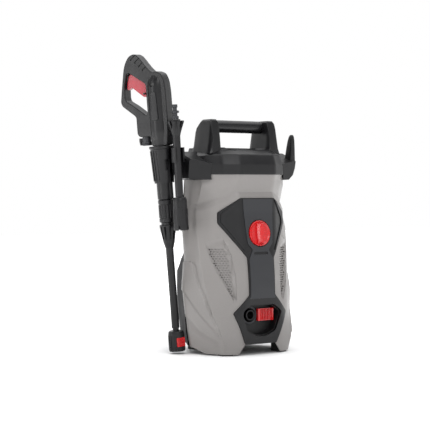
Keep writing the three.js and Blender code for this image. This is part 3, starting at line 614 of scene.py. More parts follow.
def smooth_front(height):
    """The half plan at a height, flowing smoothly through the rows up to the shoulder."""
    rows = [row for row in FRONT_ROWS if row[0] <= CREASED_FROM]
    if height >= CREASED_FROM or height <= rows[0][0]:
        return front_at(height)
    spot = max(i for i, row in enumerate(rows[:-1]) if row[0] <= height)
    low, high = rows[spot], rows[spot + 1]
    before = rows[max(spot - 1, 0)]
    after = rows[min(spot + 2, len(rows) - 1)]
    share = (height - low[0]) / (high[0] - low[0])
    span = high[0] - low[0]
    points = []
    for k in range(5):
        point = []
        for axis in (0, 1):
            start, end = low[1][k][axis], high[1][k][axis]
            rise_a = (end - before[1][k][axis]) / (high[0] - before[0]) * span
            rise_b = (after[1][k][axis] - start) / (after[0] - low[0]) * span
            t, t2, t3 = share, share ** 2, share ** 3
            point.append((2 * t3 - 3 * t2 + 1) * start + (t3 - 2 * t2 + t) * rise_a + (3 * t2 - 2 * t3) *
                end + (t3 - t2) * rise_b)
        points.append(tuple(point))
    return points


def round_row(half, fine):
    """Points along a half plan from the middle to the seam, with its corners rounded."""
    stops = [Vector((0, half[0][1]))] + [Vector(p) for p in half]
    result = []
    last = stops[0]
    for k in range(1, 5):
        corner, ahead = stops[k], stops[k + 1]
        reach = min(CORNER_ROUND[k - 1], (corner - stops[k - 1]).length * 0.45,
            (ahead - corner).length * 0.45)
        start = corner + (stops[k - 1] - corner).normalized() * reach
        end = corner + (ahead - corner).normalized() * reach
        result += [last.lerp(start, i / fine[k - 1]) for i in range(fine[k - 1])]
        result += [(1 - t) ** 2 * start + 2 * t * (1 - t) * corner + t ** 2 * end
            for t in (0, 0.25, 0.5, 0.75)]
        last = end
    result += [last.lerp(stops[5], i / fine[4]) for i in range(fine[4] + 1)]
    return result


def between(table, height):
    """A value read from a table of (height, value), or None outside it."""
    for (low, first), (high, second) in zip(table, table[1:]):
        if low <= height <= high:
            return first + (second - first) * (height - low) / max(high - low, 0.001)
    return None


def side_share(half, point):
    """How far a point is from the facet crease, 0, to the widest line, 1."""
    crease, wide = Vector(half[2]), Vector(half[3])
    along = wide - crease
    return (point - crease).dot(along) / along.length_squared


def ease(value):
    value = max(0.0, min(1.0, value))
    return value * value * (3 - 2 * value)


def flank_relief(half, point, height):
    """How far the flank's shapes stand out at a point: the raised fender with a groove along its
    front edge, and below them the low crease, where the flank starts to turn inward."""
    share = side_share(half, point)
    width = (Vector(half[3]) - Vector(half[2])).length
    front_edge = between(BLADE, height)
    low_edge = between(BLADE_LOW, height)
    crease = between(UNDERCUT, height)
    relief = 0.0
    if crease is not None and share > -0.05:
        below = (share - crease) * width
        relief += CREASE_BEAD * ease(1 - abs(below) / BEAD_WIDTH)
        relief -= min(UNDERCUT_MOST, UNDERCUT_SLOPE * max(0.0, below)) * ease((share + 0.02) * 6)
    if front_edge is None:
        return relief
    inside = min((share - front_edge) * width, FENDER_TOP - height)
    if low_edge is not None:
        inside = min(inside, (low_edge - share) * width * 0.7)
    if share < front_edge and share > -0.02:
        relief -= GROOVE_DEPTH * ease(1 + inside / GROOVE_WIDTH) * ease((share + 0.02) * 12)
    return relief + BLADE_RISE * ease(inside / FENDER_EDGE)


FINE = [10, 8, 9, 26, 8]
ROWS_READY = {}


def ready_row(height):
    """The rounded row at a height, kept so that it is only worked out once."""
    key = round(height * 4)
    if key not in ROWS_READY:
        ROWS_READY[key] = round_row(smooth_front(key / 4), FINE)
    return ROWS_READY[key]


def shoulder_row(height):
    """A row of the surface, with the shoulder's break falling away towards the sides."""
    if height <= SHOULDER_FROM or height >= BODY_TOP - 0.1:
        return round_row(smooth_front(height), FINE)
    share = ease((height - SHOULDER_FROM) / 50) * (1 - ease((height - 345) / 24))
    row = ready_row(height)
    result = []
    for i, point in enumerate(row):
        fall = SHOULDER_FALL * max(0.0, min(1.0, (point.x - 44) / 66))
        result.append(ready_row(min(height + fall * share, BODY_TOP))[i])
    return result


def skin_row(height, distance, blade=True, dish=None):
    """One row of the housing's surface, from the left seam round the front to the right seam."""
    half = smooth_front(height)
    row = shoulder_row(height)
    points = []
    for i, point in enumerate(row):
        before = row[max(i - 1, 0)]
        after = row[min(i + 1, len(row) - 1)]
        along = (after - before).normalized()
        away = Vector((along.y, -along.x))
        rise = distance + (flank_relief(half, point, height) if blade else 0)
        rise += dish(point.x, height) if dish else 0
        points.append(point + away * rise)
    right = [(p.x, p.y, height) for p in points]
    return [(-x, y, z) for x, y, z in reversed(right[1:])] + right


def skin_heights(low, high, step):
    marks = {low, high} | {row[0] for row in FRONT_ROWS if low < row[0] < high}
    marks |= {low + i * step for i in range(int((high - low) / step) + 1)}
    marks |= {186, 188.4, 189.2, 190} if low < 186 and high > 190 else set()
    levels = sorted(marks)
    return [z for i, z in enumerate(levels) if i == 0 or z - levels[i - 1] > 0.6 or z in (low, high)]


def skin(name, inner, outer, low=BODY_FLOOR, high=BODY_TOP, step=3.2, blade=True, within=None, dish=None):
    """A closed wall between two distances from the housing's surface; dish sets back its outside."""
    heights = skin_heights(low, high, step)
    faces = []
    points = []
    for distance in (outer, inner):
        for z in heights:
            row = skin_row(z, distance, blade, dish if distance == outer else None)
            row = [p for i, p in enumerate(row) if within is None or within[0] <= i < within[1]]
            points += row
            wide = len(row)
    size = wide * len(heights)
    for r in range(len(heights) - 1):
        for c in range(wide - 1):
            a = r * wide + c
            faces.append((a, a + 1, a + 1 + wide, a + wide))
            faces.append((size + a + wide, size + a + 1 + wide, size + a + 1, size + a))
        for c in (0, wide - 1):
            a = r * wide + c
            faces.append((a, a + wide, size + a + wide, size + a))
    for c in range(wide - 1):
        for a in (c, (len(heights) - 1) * wide + c):
            faces.append((a, a + 1, size + a + 1, size + a))
    return rework(build(name, points, faces), outward)


HALF_POINTS = sum(FINE) + 4 * len(CORNER_ROUND) + 1


RECESS = both([(0, 103), (29, 103), (50, 88), (35, 49), (16, 40), (0, 38)])
FASCIA = both([(0, 321), (42, 321), (82, 292), (83, 269), (33, 199), (32, 123), (66, 87), (39, 22.5),
    (0, 22.5)])
PLATE = both([(0, 319), (38, 319), (34, 257), (31, 228), (20, 215), (30, 197), (29.5, 124), (33, 116),
    (0, 116)])


def sill_cutter():
    return prism("sill", [(-72, -5), (-30, 14), (20, 18), (130, 18), (130, -20), (-72, -20)], -150, 150,
        "X")


def arch_cutter():
    return prism("arch", [(-53, -10), (53, -10), (53, 3), (39, 22), (-39, 22), (-53, 3)], -140, -50, "Y")


def knob_cutter(radius):
    return rod("well", radius, -40, 60, KNOB_LINE, 64)


def outline_cutter(outline, radius=3.0, back=-55):
    return prism("window", rounded(outline, radius), -150, back, "Y")


def vent_cutter(side, grown=0.0, radius=4.0, back=-20):
    outline = ordered((side * x, z) for x, z in VENT)
    return outline_cutter(offset(outline, grown), radius, back)


def make_shell():
    shell = skin("shell_front", -SHELL_WALL, 0.0)
    cut(shell, outline_cutter(offset(ordered(RECESS), RECESS_ROOM), 4),
        knob_cutter(30), vent_cutter(1), vent_cutter(-1), sill_cutter(), arch_cutter())
    soften(shell, 0.6, 2, 40, 0)
    return finish(shell, "root", SHELL_GREY, ["front_shell"], 32)


# ---------------------------------------------------------------- trim, controls and outlet

FACE = (26, 2 * HALF_POINTS - 27)  # the columns of the housing's surface from crease to crease


def layer(name, outline, inner, outer, radius):
    """A trim layer that follows the housing's surface within an outline."""
    slab = skin(name, inner, outer, 18, 340, 4, False, FACE)
    return keep_inside(slab, outline_cutter(ordered(outline), radius))


def make_trim():
    fascia = layer("fascia_panel", FASCIA, 0.3, 3.3, 3)
    cut(fascia, outline_cutter(offset(ordered(RECESS), 0.3), 5), knob_cutter(29))
    soften(fascia, 0.8, 2, 40, 0)
    finish(fascia, "root", BLACK, ["fascia"], 30)
    plate = layer("control_plate_panel", PLATE, 1.6, 4.5, 3)
    cut(plate, knob_cutter(28), outline_cutter([(-18, 205.5), (18, 205.5), (16.5, 211), (-16.5, 211)], 1.5))
    soften(plate, 0.7, 2, 40, 0)
    finish(plate, "root", CHARCOAL, ["control_plate"], 30)
    well = lathe("knob_well", [(0, -14), (29.8, -14), (29.8, 5), (27.4, 5), (27.0, -11), (0, -11),
        (0, -14)], KNOB_LINE, 64)
    soften(well, 0.5)
    finish(well, "root", DEEP)
    make_wing_ridges()


def make_wing_ridges():
    """The raised fold on each upper wing of the trim."""
    for side, name in SIDES:
        outline = ordered([(side * x, z) for x, z in [(43.5, 317), (47, 317), (78, 289.5), (79.5, 272),
            (39, 213), (38.5, 218), (72, 270), (70, 282)]])
        ridge = layer("fascia_fold_" + name, outline, 2.6, 5.0, 2)
        soften(ridge, 0.6, 2, 40, 0)
        finish(ridge, "root", BLACK, (), 30)


def make_recess():
    cup = prism("outlet_cup", rounded(ordered(RECESS), 4), -109.5, -89, "Y")
    hollow = prism("hollow", rounded(offset(ordered(RECESS), -2.2), 4), -130, -91.6, "Y")
    front = skin("front", -0.5, 30, 18, 200, 5, False, FACE)
    cut(cup, hollow, front)
    socket_hole = rod("hole", 13.8, -10, 60, outlet_line(-91))
    cut(cup, socket_hole, block("slot", 5, 32, -100, -60, 75.5, 86.5))
    soften(cup, 0.8, 2, 40)
    finish(cup, "root", DEEP, ["outlet_recess"])
    socket = lathe("outlet_ring", [(7.5, 0), (7.5, 28), (8.3, 29.6), (10.3, 30), (11.2, 29.2), (11.2, 20),
        (12.6, 18.8), (13.5, 17.6), (13.5, 0), (7.5, 0)], outlet_line(-69), 56)
    soften(socket, 0.25)
    finish(socket, "root", BLACK, ["outlet_socket"])
    collar = lathe("outlet_collar", [(14.3, 0), (14.3, 3.4), (15.4, 4.4), (17.6, 4.4), (18.6, 3.2),
        (18.6, 0), (14.3, 0)], outlet_line(-91.7), 56)
    finish(collar, "root", CHARCOAL)


OUTLET_X = -18.5
OUTLET_Z = 81


def outlet_line(y):
    """The outlet's own frame: Z comes out of the front, starting at a depth."""
    return line_at(OUTLET_X, y, OUTLET_Z, 90, "X")


def make_slider():
    slider = block("release_slider", -1, 38, -102, -95.8, 68.5, 93.5)
    top = block("top", 3.5, 33.5, -104, -99.6, 60, 72.2)
    low = block("low", 3.5, 33.5, -104, -99.6, 89.8, 100)
    cut(slider, block("middle", 3.4, 33.6, -104, -99.8, 72, 90), top, low)
    ribs = [block("rib", x, x + 1.5, -101.8, -99, 70, 92) for x in (8, 12, 16, 20, 24, 28)]
    stem = block("stem", 7, 30, -97, -78, 77.5, 84.5)
    join(slider, stem, *ribs)
    soften(slider, 0.7, 2, 40)
    finish(slider, "release", RED, ["outlet_release"])


def scallops(name, radius, dips, depth, low, high, where):
    """A disc with a wavy rim, like the edge of a dial."""
    outline = []
    for i in range(dips * 8):
        angle = math.tau * i / (dips * 8)
        wave = 0.5 - 0.5 * math.cos(angle * dips)
        size = radius - depth * wave ** 2
        outline.append((size * math.cos(angle), size * math.sin(angle)))
    return prism(name, outline, low, high, "Z", where)


def make_knob():
    rim = scallops("knob", 26.5, 24, 0.9, 1.0, 8.6, KNOB_LINE)
    shaft = rod("shaft", 5, -18, 3, KNOB_LINE, 32)
    dome = lathe("dome", [(0, 3), (25.6, 3), (25.6, 9.4), (24.6, 10.2), (23.2, 9.6), (20, 7.6), (0, 6.8)],
        KNOB_LINE, 64)
    plan = [(-7, -24), (7, -24), (9.5, -8), (9.5, 8), (7, 24), (-7, 24), (-9.5, 8), (-9.5, -8)]
    ridge_outline = rounded(plan, 5, 5)
    rows = []
    for z, size in ((4, 1.12), (9, 1.02), (16.5, 0.66), (19.2, 0.54), (20.4, 0.38)):
        stretch = 1 - (1 - size) * 0.35
        rows.append([(x * size, y * stretch, z) for x, y in ridge_outline])
    ridge = loft("ridge", rows, KNOB_LINE)
    join(rim, dome, ridge, shaft)
    soften(rim, 0.6, 2, 50)
    finish(rim, "knob", RED, ["switch_knob"], 30)


VENT_PANEL = (-8.6, -0.3)  # the panel's back and front, from the housing's surface
VENT_BACKING = (-9.4, -8.7)
VENT_DISH = 6.6
VENT_SLOPES = [5.0] * 7 + [20.0]  # how wide the dish's slope is along each edge
VENT_SPAN = (100, 250, 2.2)
HOLE_PITCH = (5.4, 4.7)
HOLE_REACH = (2.1, 1.6)
HOLES_TOP = 219


def make_vents():
    for side, name in SIDES:
        panel = skin("vent_mesh_" + name, *VENT_PANEL, *VENT_SPAN, False, None, vent_dish)
        keep_inside(panel, vent_cutter(side, -0.1, 4.0, -20))
        cut(panel, vent_holes(side))
        backing = skin("vent_backing_" + name, *VENT_BACKING, *VENT_SPAN, False)
        keep_inside(backing, vent_cutter(side, -1.0, 4.0, -20))
        finish(backing, "root", SHELL_GREY, (), 30)
        finish(panel, "root", SHELL_GREY, ["vent_grille_" + name], 30)


def vent_dish(x, z):
    """How far the vent panel is set back at a point: a long ramp at its top and steep sides."""
    depth = 1.0
    for a, b, slope in zip(VENT, VENT[1:] + VENT[:1], VENT_SLOPES):
        along = Vector((b[0] - a[0], b[1] - a[1]))
        apart = Vector((x - a[0], z - a[1]))
        distance = (along.x * apart.y - along.y * apart.x) / along.length
        depth = min(depth, ease(distance / slope))
    return -VENT_DISH * depth


def vent_holes(side):
    """A honeycomb of small holes through the vent panel, as one cutter."""
    shape = [Vector((side * x, z)) for x, z in offset(ordered(VENT), -4.5)]
    points, faces = [], []
    pitch_x, pitch_z = HOLE_PITCH
    turns = [math.tau * k / 8 for k in range(8)]
    for row in range(28):
        for column in range(12):
            x = side * (54 + column * pitch_x + (row % 2) * pitch_x / 2)
            z = 108 + row * pitch_z
            if not within_outline(shape, x, z) or z > HOLES_TOP:
                continue
            start = len(points)
            ring = [(x + HOLE_REACH[0] * math.cos(t), z + HOLE_REACH[1] * math.sin(t)) for t in turns]
            points += [(px, -120, pz) for px, pz in ring] + [(px, -10, pz) for px, pz in ring]
            faces.append(tuple(range(start, start + 8)))
            faces.append(tuple(range(start + 15, start + 7, -1)))
            faces += [(start + k, start + 8 + k, start + 8 + (k + 1) % 8, start + (k + 1) % 8)
                for k in range(8)]
    return rework(build("holes", points, faces), outward)


def within_outline(shape, x, z):
    inside = False
    for a, b in zip(shape, shape[1:] + shape[:1]):
        if (a.y > z) != (b.y > z) and x < (b.x - a.x) * (z - a.y) / (b.y - a.y) + a.x:
            inside = not inside
    return inside


# ---------------------------------------------------------------- rear housing, cover and handle

REAR_ROWS = [
    (3, [(112, -14), (86, 40), (62, 68)]), (40, [(118, -12), (96, 42), (72, 84)]),
    (87, [(120, -8), (99, 48), (76, 88)]), (132, [(120, 0), (100, 52), (76, 90)]),
    (165, [(117, 1), (98, 54), (76, 90)]), (193, [(115, 3), (92, 50), (68, 72)]),
    (207, [(115, 3.5), (86, 43), (66, 62)]), (253, [(117, 6), (84, 42), (66, 62)]),
    (292, [(116, 6), (84, 42), (66, 62)]), (323, [(114, 6), (84, 42), (66, 62)]),
    (333, [(113, 6), (84, 42), (66, 62)]), (369, [(111, 6), (84, 42), (66, 62)]),
]


def rear_outline(row, distance, forward=0.0):
    half = [(x, y + (0.3 if i == 0 else 0)) for i, (x, y) in enumerate(row)]
    whole = [(half[0][0], half[0][1])] + half[1:] + [(0, half[-1][1] + 2)]
    whole += [(-x, y) for x, y in reversed(half)]
    grown = offset(whole, distance)
    front = half[0][1] - forward
    grown[0] = (grown[0][0], front)
    grown[-1] = (grown[-1][0], front)
    return rounded(grown, [0.01] + [9] * (len(grown) - 2) + [0.01], 4)


def rear_wall(name, inner, outer):
    shells = []
    for distance, forward in ((outer, 0.0), (inner, 30.0)):
        rows = [[(x, y, z) for x, y in rear_outline(row, distance, forward)] for z, row in REAR_ROWS]
        if distance == inner:
            under = [(x, y, BODY_FLOOR - 20) for x, y, z in rows[0]]
            over = [(x, y, BODY_TOP + 20) for x, y, z in rows[-1]]
            rows = [under] + rows + [over]
        shells.append(loft(name if distance == outer else "inside", rows))
    return cut(shells[0], shells[1])


def make_rear():
    wall = rear_wall("shell_rear", -REAR_WALL, 0.0)
    cutters = [sill_cutter()]
    for row in range(7):
        z = 222 + row * 13
        slot = rounded([(-46, z), (46, z), (46, z + 5), (-46, z + 5)], 2.4)
        cutters.append(prism("slot", slot, 40, 90, "Y"))
    for x, z, radius in ((34, 72, 15.3), (-40, 62, 7.3)):
        line = line_at(x, 60, z, -90, "X")
        cutters.append(rod("hole", radius, 0, 60, line, 40))
    cut(wall, *cutters)
    for side in (-1, 1):
        ribs = [block("rib", side * 119 - 3, side * 119 + 3, 10, 36, z, z + 2.2)
            for z in (60, 74, 88, 102, 116)]
        cut(wall, *ribs)
    soften(wall, 0.9, 2, 30)
    finish(wall, "root", MATT_BLACK, ["rear_shell"], 34)


# The cover's half plan at each height: the middle of the front, the face corner, the brow, the
# front corner, the side's front and back, the flank and the back corner.
def cover_row(height, pull, tuck, face):
    side = 113 - tuck
    return height, [(0, -102 + pull), (face, -102 + pull), (77 - tuck * 0.2, -83 + pull),
                    (106 - tuck * 0.9, -47 + pull * 0.3), (side, -14), (side, 6), (86 - tuck * 0.3, 44),
                    (68 - tuck * 0.3, 64 - pull * 0.2), (0, 66 - pull * 0.2)]


COVER_ROWS = [cover_row(369.3, 0.4, 0.6, 43), cover_row(371, 0, 0, 43), cover_row(389, 1, 2, 43.5),
              cover_row(391, 1.5, 2.5, 43.5), cover_row(407, 7.2, 9, 43), cover_row(410.5, 9.6, 13, 43),
              cover_row(417, 24, 26, 41.5), cover_row(423.8, 38, 33, 40), cover_row(425, 42, 35, 40)]


def cover_body(name, distance, rows, corner=5):
    result = []
    for z, half in rows:
        whole = half + [(-x, y) for x, y in reversed(half) if x > 0]
        grown = offset(whole, distance)
        radii = [0.5 if abs(x) < 1 else corner for x, y in grown]
        result.append([(x, y, z) for x, y in rounded(grown, radii, 4)])
    return loft(name, result)


POST_FOOT = 412
# depth, top, inner side and outer side
POST = [(-58, 424, 66, 79), (-55.5, 447, 64, 81), (-50, 470, 62.8, 82), (-46, 480.5, 62.5, 82),
    (-43, 483, 62.5, 82), (-14, 483, 62.5, 82), (-9, 481, 62.5, 82), (4, 470, 62.5, 82),
    (9, 462, 63, 81.5), (19, 428, 65, 80), (22, 418, 67, 78)]


def post_rows(side):
    """The handle's post: its outline across the machine at each depth, joined from front to back."""
    rows = []
    low = POST_FOOT
    for y, top, inner, outer in POST:
        outline = [(inner - 5, low), (outer + 9, low), (outer + 4, low + (top - low) * 0.35),
            (outer, top - 4), (outer - 4, top), (inner + 3.5, top), (inner, top - 3.5),
            (inner - 1.5, low + (top - low) * 0.4)]
        rows.append([(side * x, y, z) for x, z in outline])
    return rows


BAR_Y = -20
BAR_Z = 469.5


def make_cover():
    cover = cover_body("cover", 0, COVER_ROWS)
    drops = [2, 0, 0, 0, 0, 3, 3, 3, 3]
    rows = [(z - drop, row) for drop, (z, row) in zip(drops, COVER_ROWS)]
    cut(cover, cover_body("inside", -COVER_WALL, rows))
    soften(cover, 1.3, 2, 24)
    for side, name in ((-1, "post_left"), (1, "post_right")):
        post = loft(name, post_rows(side))
        tidy(post)
        soften(post, 2.2, 3, 28)
        join(cover, post)
    valley = prism("valley", rounded([(-50, 421.5), (50, 421.5), (58, 440), (-58, 440)], 4), -70, -20, "Y")
    cut(cover, valley)
    finish(cover, "root", BLACK, ["top_cover"], 34)
    line = line_at(0, BAR_Y, BAR_Z, 90, "Y")
    bar = lathe("handle_grip", [(0, -76), (9, -76), (9, -64), (12.6, -63), (13, -61), (13, 61),
        (12.6, 63), (9, 64), (9, 76), (0, 76)], line, 48)
    rings = [lathe("groove", [(12.5, x - 0.5), (16, x - 0.5), (16, x + 0.5), (12.5, x + 0.5),
        (12.5, x - 0.5)], line, 48) for x in (-57, 57)]
    cut(bar, *rings)
    soften(bar, 0.3, 2, 40)
    finish(bar, "root", GRIP, ["handle_bar"])


def wing_row(side, share):
    """The wing's outline at a share of its depth; its front face slants away from the machine."""
    front = [(84, -67, 358), (110, -61, 359), (128, -56, 357.5), (135.4, -46, 361), (136, -50, 396),
        (133, -52, 400), (84, -67, 390)]
    if side > 0:
        front[2:5] = [(124, -57, 369), (134, -51, 384), (137, -50, 398)]
    back = [(84, -8, 358), (110, -8, 358), (128, -8, 358), (136, -8, 362), (136, -8, 412), (133, -8, 416),
        (84, -8, 417)]
    return [(side * (a[0] + (b[0] - a[0]) * share), a[1] + (b[1] - a[1]) * share,
        a[2] + (b[2] - a[2]) * share) for a, b in zip(front, back)]


def make_wings():
    keep_out = cover_body("keep_out", 0.3, [(349, COVER_ROWS[1][1])] + COVER_ROWS[1:], 5)
    for side, name in SIDES:
        rows = [wing_row(side, share) for share in (0.0, 0.35, 0.7, 1.0)]
        piece = loft("wing_" + name, rows)
        housing = front_loft("housing", 0.2, [330, 333, 369], 6)
        cut(piece, duplicate(keep_out), housing)
        soften(piece, 1.5, 3, 30)
        finish(piece, "root", BLACK, ["bracket_" + name], 34)
    drop(keep_out)
    make_hook()


def duplicate(piece):
    copy = piece.copy()
    copy.data = piece.data.copy()
    bpy.context.scene.collection.objects.link(copy)
    return copy


HOOK = [(394, 120.5, 135.4, -52, -29), (410, 122, 135, -51.8, -30), (430, 123.6, 134.6, -51.2, -33),
        (443, 124.6, 134.2, -50.6, -36), (450, 126, 133.4, -49.6, -38), (453.5, 127.6, 132.2, -48.4, -39.6),
        (455, 129, 131, -46.6, -41)]  # height, left, right, front and back


def make_hook():
    rows = []
    for z, left, right, near, far in HOOK:
        corner = min(4.0, (right - left) * 0.3)
        outline = rounded([(left, near), (right, near), (right, far), (left, far)], corner, 3)
        rows.append([(x, y, z) for x, y in outline])
    hook = loft("hook", rows)
    groove = rounded([(-46, 410), (-38, 410), (-41, 440), (-45, 440)], 2)
    cut(hook, prism("channel", groove, 132.5, 140, "X"))
    soften(hook, 0.6, 2, 40)
    finish(hook, "root", BLACK, ["cable_hook"], 34)


# ---------------------------------------------------------------- holster and clip

def make_holster():
    cup = lathe("holster", [(18.4, -36), (20.2, -36), (20.2, -33), (20.9, -20), (24.2, 33), (25.4, 34),
        (26, 35.5), (26, 38.4), (25.4, 39.4), (23.6, 39.4), (22.9, 38.6), (18.4, -36)], GUN_LINE, 64)
    slot = prism("slot", [(0, 0), (60, -84), (6, -84)], -60, 60, "Z", GUN_LINE)
    opening = rounded([(-9, -10), (-1, -10), (1, 12), (-10, 12)], 2.4)
    window = prism("window", opening, -40, 0, "Y", GUN_LINE)
    ribs = [block("rib", -24.5, -17.5, -11 + i * 7, -9.6 + i * 7, -32, 30, GUN_LINE) for i in range(4)]
    lug = block("lug", 21, 36, -8, 8, -22, 18, GUN_LINE)
    lug_cut = block("lug_cut", 30.5, 60, -30, 30, -80, 80, GUN_LINE)
    cut(cup, slot)
    join(cup, cut(lug, lug_cut))
    cut(cup, window)
    limit = [(19, -36), (21.4, -36), (25.2, 33), (19, 33), (19, -36)]
    for rib in ribs:
        join(cup, keep_inside(rib, lathe("limit", limit, GUN_LINE, 48)))
    soften(cup, 0.6, 2, 40)
    finish(cup, "root", BLACK, ["holster_cup"], 34)


def make_clip():
    cradle = lathe("clip", [(8.3, 10), (11.6, 10), (12.2, 11), (12.2, 39), (11.6, 40), (8.3, 40),
        (8.3, 10)], SPARE_LINE, 48)
    cut(cradle, block("mouth", -8.2, 8.2, -30, 0, 0, 60, SPARE_LINE))
    arm = block("arm", 6, 22, 6, 15, 10, 40, SPARE_LINE)
    cut(arm, rod("room", 10, 0, 60, SPARE_LINE, 32))
    join(cradle, arm)
    soften(cradle, 0.7, 2, 40)
    finish(cradle, "root", BLACK, ["lance_clip"], 34)


# ---------------------------------------------------------------- gun

GUN_SIDE = [(-19, 40), (-23, 66), (-25, 96), (-25, 150), (-23, 172), (-17, 186), (-6, 191), (4, 190),
    (14, 200), (32, 224), (42, 230), (54, 226), (63, 214), (68, 201), (76, 158), (80, 133), (77, 125),
    (50, 104), (47, 100), (47, 66), (42, 60), (17, 60), (15, 40)]
GUN_ROUND = [3, 6, 8, 8, 8, 5, 3, 5, 9, 9, 7, 8, 8, 10, 10, 5, 5, 5, 5, 4, 4, 3, 3]
EYE = [(20, 106), (24, 104), (51, 125), (67, 135), (69, 142), (68, 168), (62, 190), (57, 192), (20, 167)]
TRIGGER_SIDE = [(17, 141), (29, 141), (44, 153), (56, 163), (63, 157), (66.5, 160), (65.5, 170),
    (60.5, 186), (56.5, 189.5), (17, 165)]


HALF_GAP = 0.15  # from the seam between the gun's halves


def gun_prism(name, outline, half, radius=2.0, near=None):
    """A side outline of the gun, in distance towards the grip and height, through its thickness."""
    points = rounded(ordered([(-out, up) for out, up in outline]), radius)
    return prism(name, points, -half if near is None else near, half, "Y", GUN)


def gun_round(name, profile, sides=56):
    return lathe(name, profile, GUN, sides)


def make_gun_half(side, name):
    radii = GUN_ROUND
    outline = [(-out, up) for out, up in GUN_SIDE]
    if signed_area(outline) < 0:
        outline, radii = outline[::-1], radii[::-1]
    body = prism(name, rounded(outline, radii, 5), -13.5, 13.5, "Y", GUN)
    eye = gun_prism("eye", EYE, 60, 4)
    cut(body, eye)
    soften(body, 4.2, 4, 50)
    barrel = gun_round("barrel", [(0, -70), (15, -70), (16.4, -68.5), (16.5, -60), (16.5, 40), (17.4, 42),
        (20, 66), (20.4, 72), (20.4, 160), (19, 172), (14, 183), (8, 186.6), (0, 187)])
    join(body, barrel)
    rib = gun_prism("rib", [(-8, 92), (8, 92), (6, 150), (-6, 150)], 21.4, 5, -21.4)
    join(body, soften(rib, 1.4, 2, 50))
    inner = gun_round("bore", [(0, -90), (13, -90), (13, -10), (13.4, 150), (0, 150)])
    hollow = gun_prism("slot", [(10, 128), (30, 128), (62, 150), (68, 158), (66, 190), (60, 203),
        (20, 194), (10, 187)], 7, 1)
    pocket = gun_prism("pocket", [(20, 50), (44, 50), (44, 92), (20, 92)], 10.6, 1)
    cut(body, inner, hollow, pocket)
    for out, up in ((17, 199.5), (25, 208), (33, 216.5), (42, 222.5)):
        groove = gun_prism("groove", [(out - 12, up + 8), (out - 10, up + 10.4), (out + 9, up - 4.4),
            (out + 7, up - 6.8)], 20, 0.8)
        core = gun_prism("core", [(out - 14, up + 14), (out + 14, up + 14), (out + 14, up - 14),
            (out - 14, up - 14)], 11.6, 3)
        cut(body, cut(groove, core))
    for out, up in ((2, 165), (9, 54)):
        hole = line_at(-out, 0, up, 90, "X")
        cut(body, rod("hole", 3.4, -60, 60, GUN @ hole, 32))
        for sign in (-1, 1):
            line = GUN @ line_at(-out, sign * 20.6, up, 90 * sign, "X")
            cut(body, lathe("sink", [(0, -2.2), (5.2, -2.2), (5.8, 4), (0, 4)], line, 32))
    near, far = (HALF_GAP, 100) if side > 0 else (-100, -HALF_GAP)
    keep_inside(body, block("side", -200, 200, near, far, -200, 400, GUN))
    soften(body, 0.45, 2, 50, 0)
    finish(body, "gun", GUN_BLACK, [name.replace("gun_shell", "gun_half")], 36)


def make_gun_trim():
    inlet = lathe("hose_inlet", [(4.5, 42), (9.6, 42), (10.5, 43), (10.5, 45), (9.6, 45.6), (9.6, 46.4),
        (10.5, 47), (10.5, 49), (9.8, 50), (9, 50), (9, 90), (4.5, 90), (4.5, 42)],
        GUN @ Matrix.Translation((-33, 0, 0)), 40)
    finish(inlet, "gun", CHARCOAL, ["gun_hose_inlet"])


def make_trigger():
    trigger = gun_prism("trigger", TRIGGER_SIDE, 5.8, 2.5)
    cut(trigger, gun_prism("pocket", [(33, 138), (60, 158), (54, 171), (32, 156)], 3, 0.5))
    soften(trigger, 0.8, 2, 40)
    finish(trigger, "trigger", CRIMSON, ["gun_trigger"])
    lock = gun_prism("lock_lever", [(36, 150), (54, 164.6), (51.5, 169), (33.5, 154.5)], 2.3, 1.2)
    soften(lock, 0.4)
    finish(lock, "lock", BLACK, ["trigger_lock"])
    hook = [(44.3, 43), (46.8, 43), (48.4, 50), (48.4, 57.6), (44.3, 57.6)]
    latch = gun_prism("latch_hook", hook, 4.8, 0.8)
    soften(latch, 0.4)
    finish(latch, "latch", BLACK, ["hose_latch"])


# ---------------------------------------------------------------- lances

def ribs_round(where, radius, count, width, depth, low, high, start=0.0):
    """Upright ridges round a piece, as a list of small blocks."""
    ribs = []
    for i in range(count):
        line = where @ turn(start + 360 * i / count, "Z")
        ribs.append(block("rib", radius - 1.2, radius + depth, -width / 2, width / 2, low, high, line))
    return ribs


def make_lance():
    ring = lathe("bayonet_ring", [(8.4, -116.4), (15.6, -116.4), (16.2, -115.6), (16.2, -109),
        (15.2, -108), (15.2, -80), (16.2, -79), (16.2, -72), (15.6, -70.8), (8.4, -70.8), (8.4, -116.4)],
        GUN_LINE, 56)
    join(ring, *ribs_round(GUN_LINE, 15.2, 16, 2.6, 1.0, -107, -81))
    soften(ring, 0.4, 1, 40)
    finish(ring, "lance", BLACK, ["lance_ring"])
    stem = lathe("lance_tube", [(3, -358), (6.4, -358), (6.4, -336.2), (8, -335.6), (8, -170),
        (9.2, -168), (10.6, -161), (11.4, -160), (17, -126), (17, -122.4), (16.4, -122), (13, -122),
        (13, -117), (8, -117), (8, -40.4), (7.6, -40), (3, -40), (3, -358)], GUN_LINE, 56)
    prongs = [block("gap", 10.6, 20, -2.0, 2.0, -152, -125, GUN_LINE @ turn(36 * i, "Z"))
        for i in range(10)]
    cut(stem, *prongs)
    soften(stem, 0.35, 1, 45)
    finish(stem, "lance", BLACK, ["lance_stem"])


def squarish(radius, share, steps):
    """A round outline drawn out a little towards a square."""
    points = []
    for i in range(steps):
        angle = math.tau * i / steps
        pull = 1 - share * (0.5 - 0.5 * math.cos(4 * angle))
        points.append((radius * math.cos(angle) * pull, radius * math.sin(angle) * pull))
    return points


NOZZLE_LINE = GUN_LINE @ turn(-88, "Z")


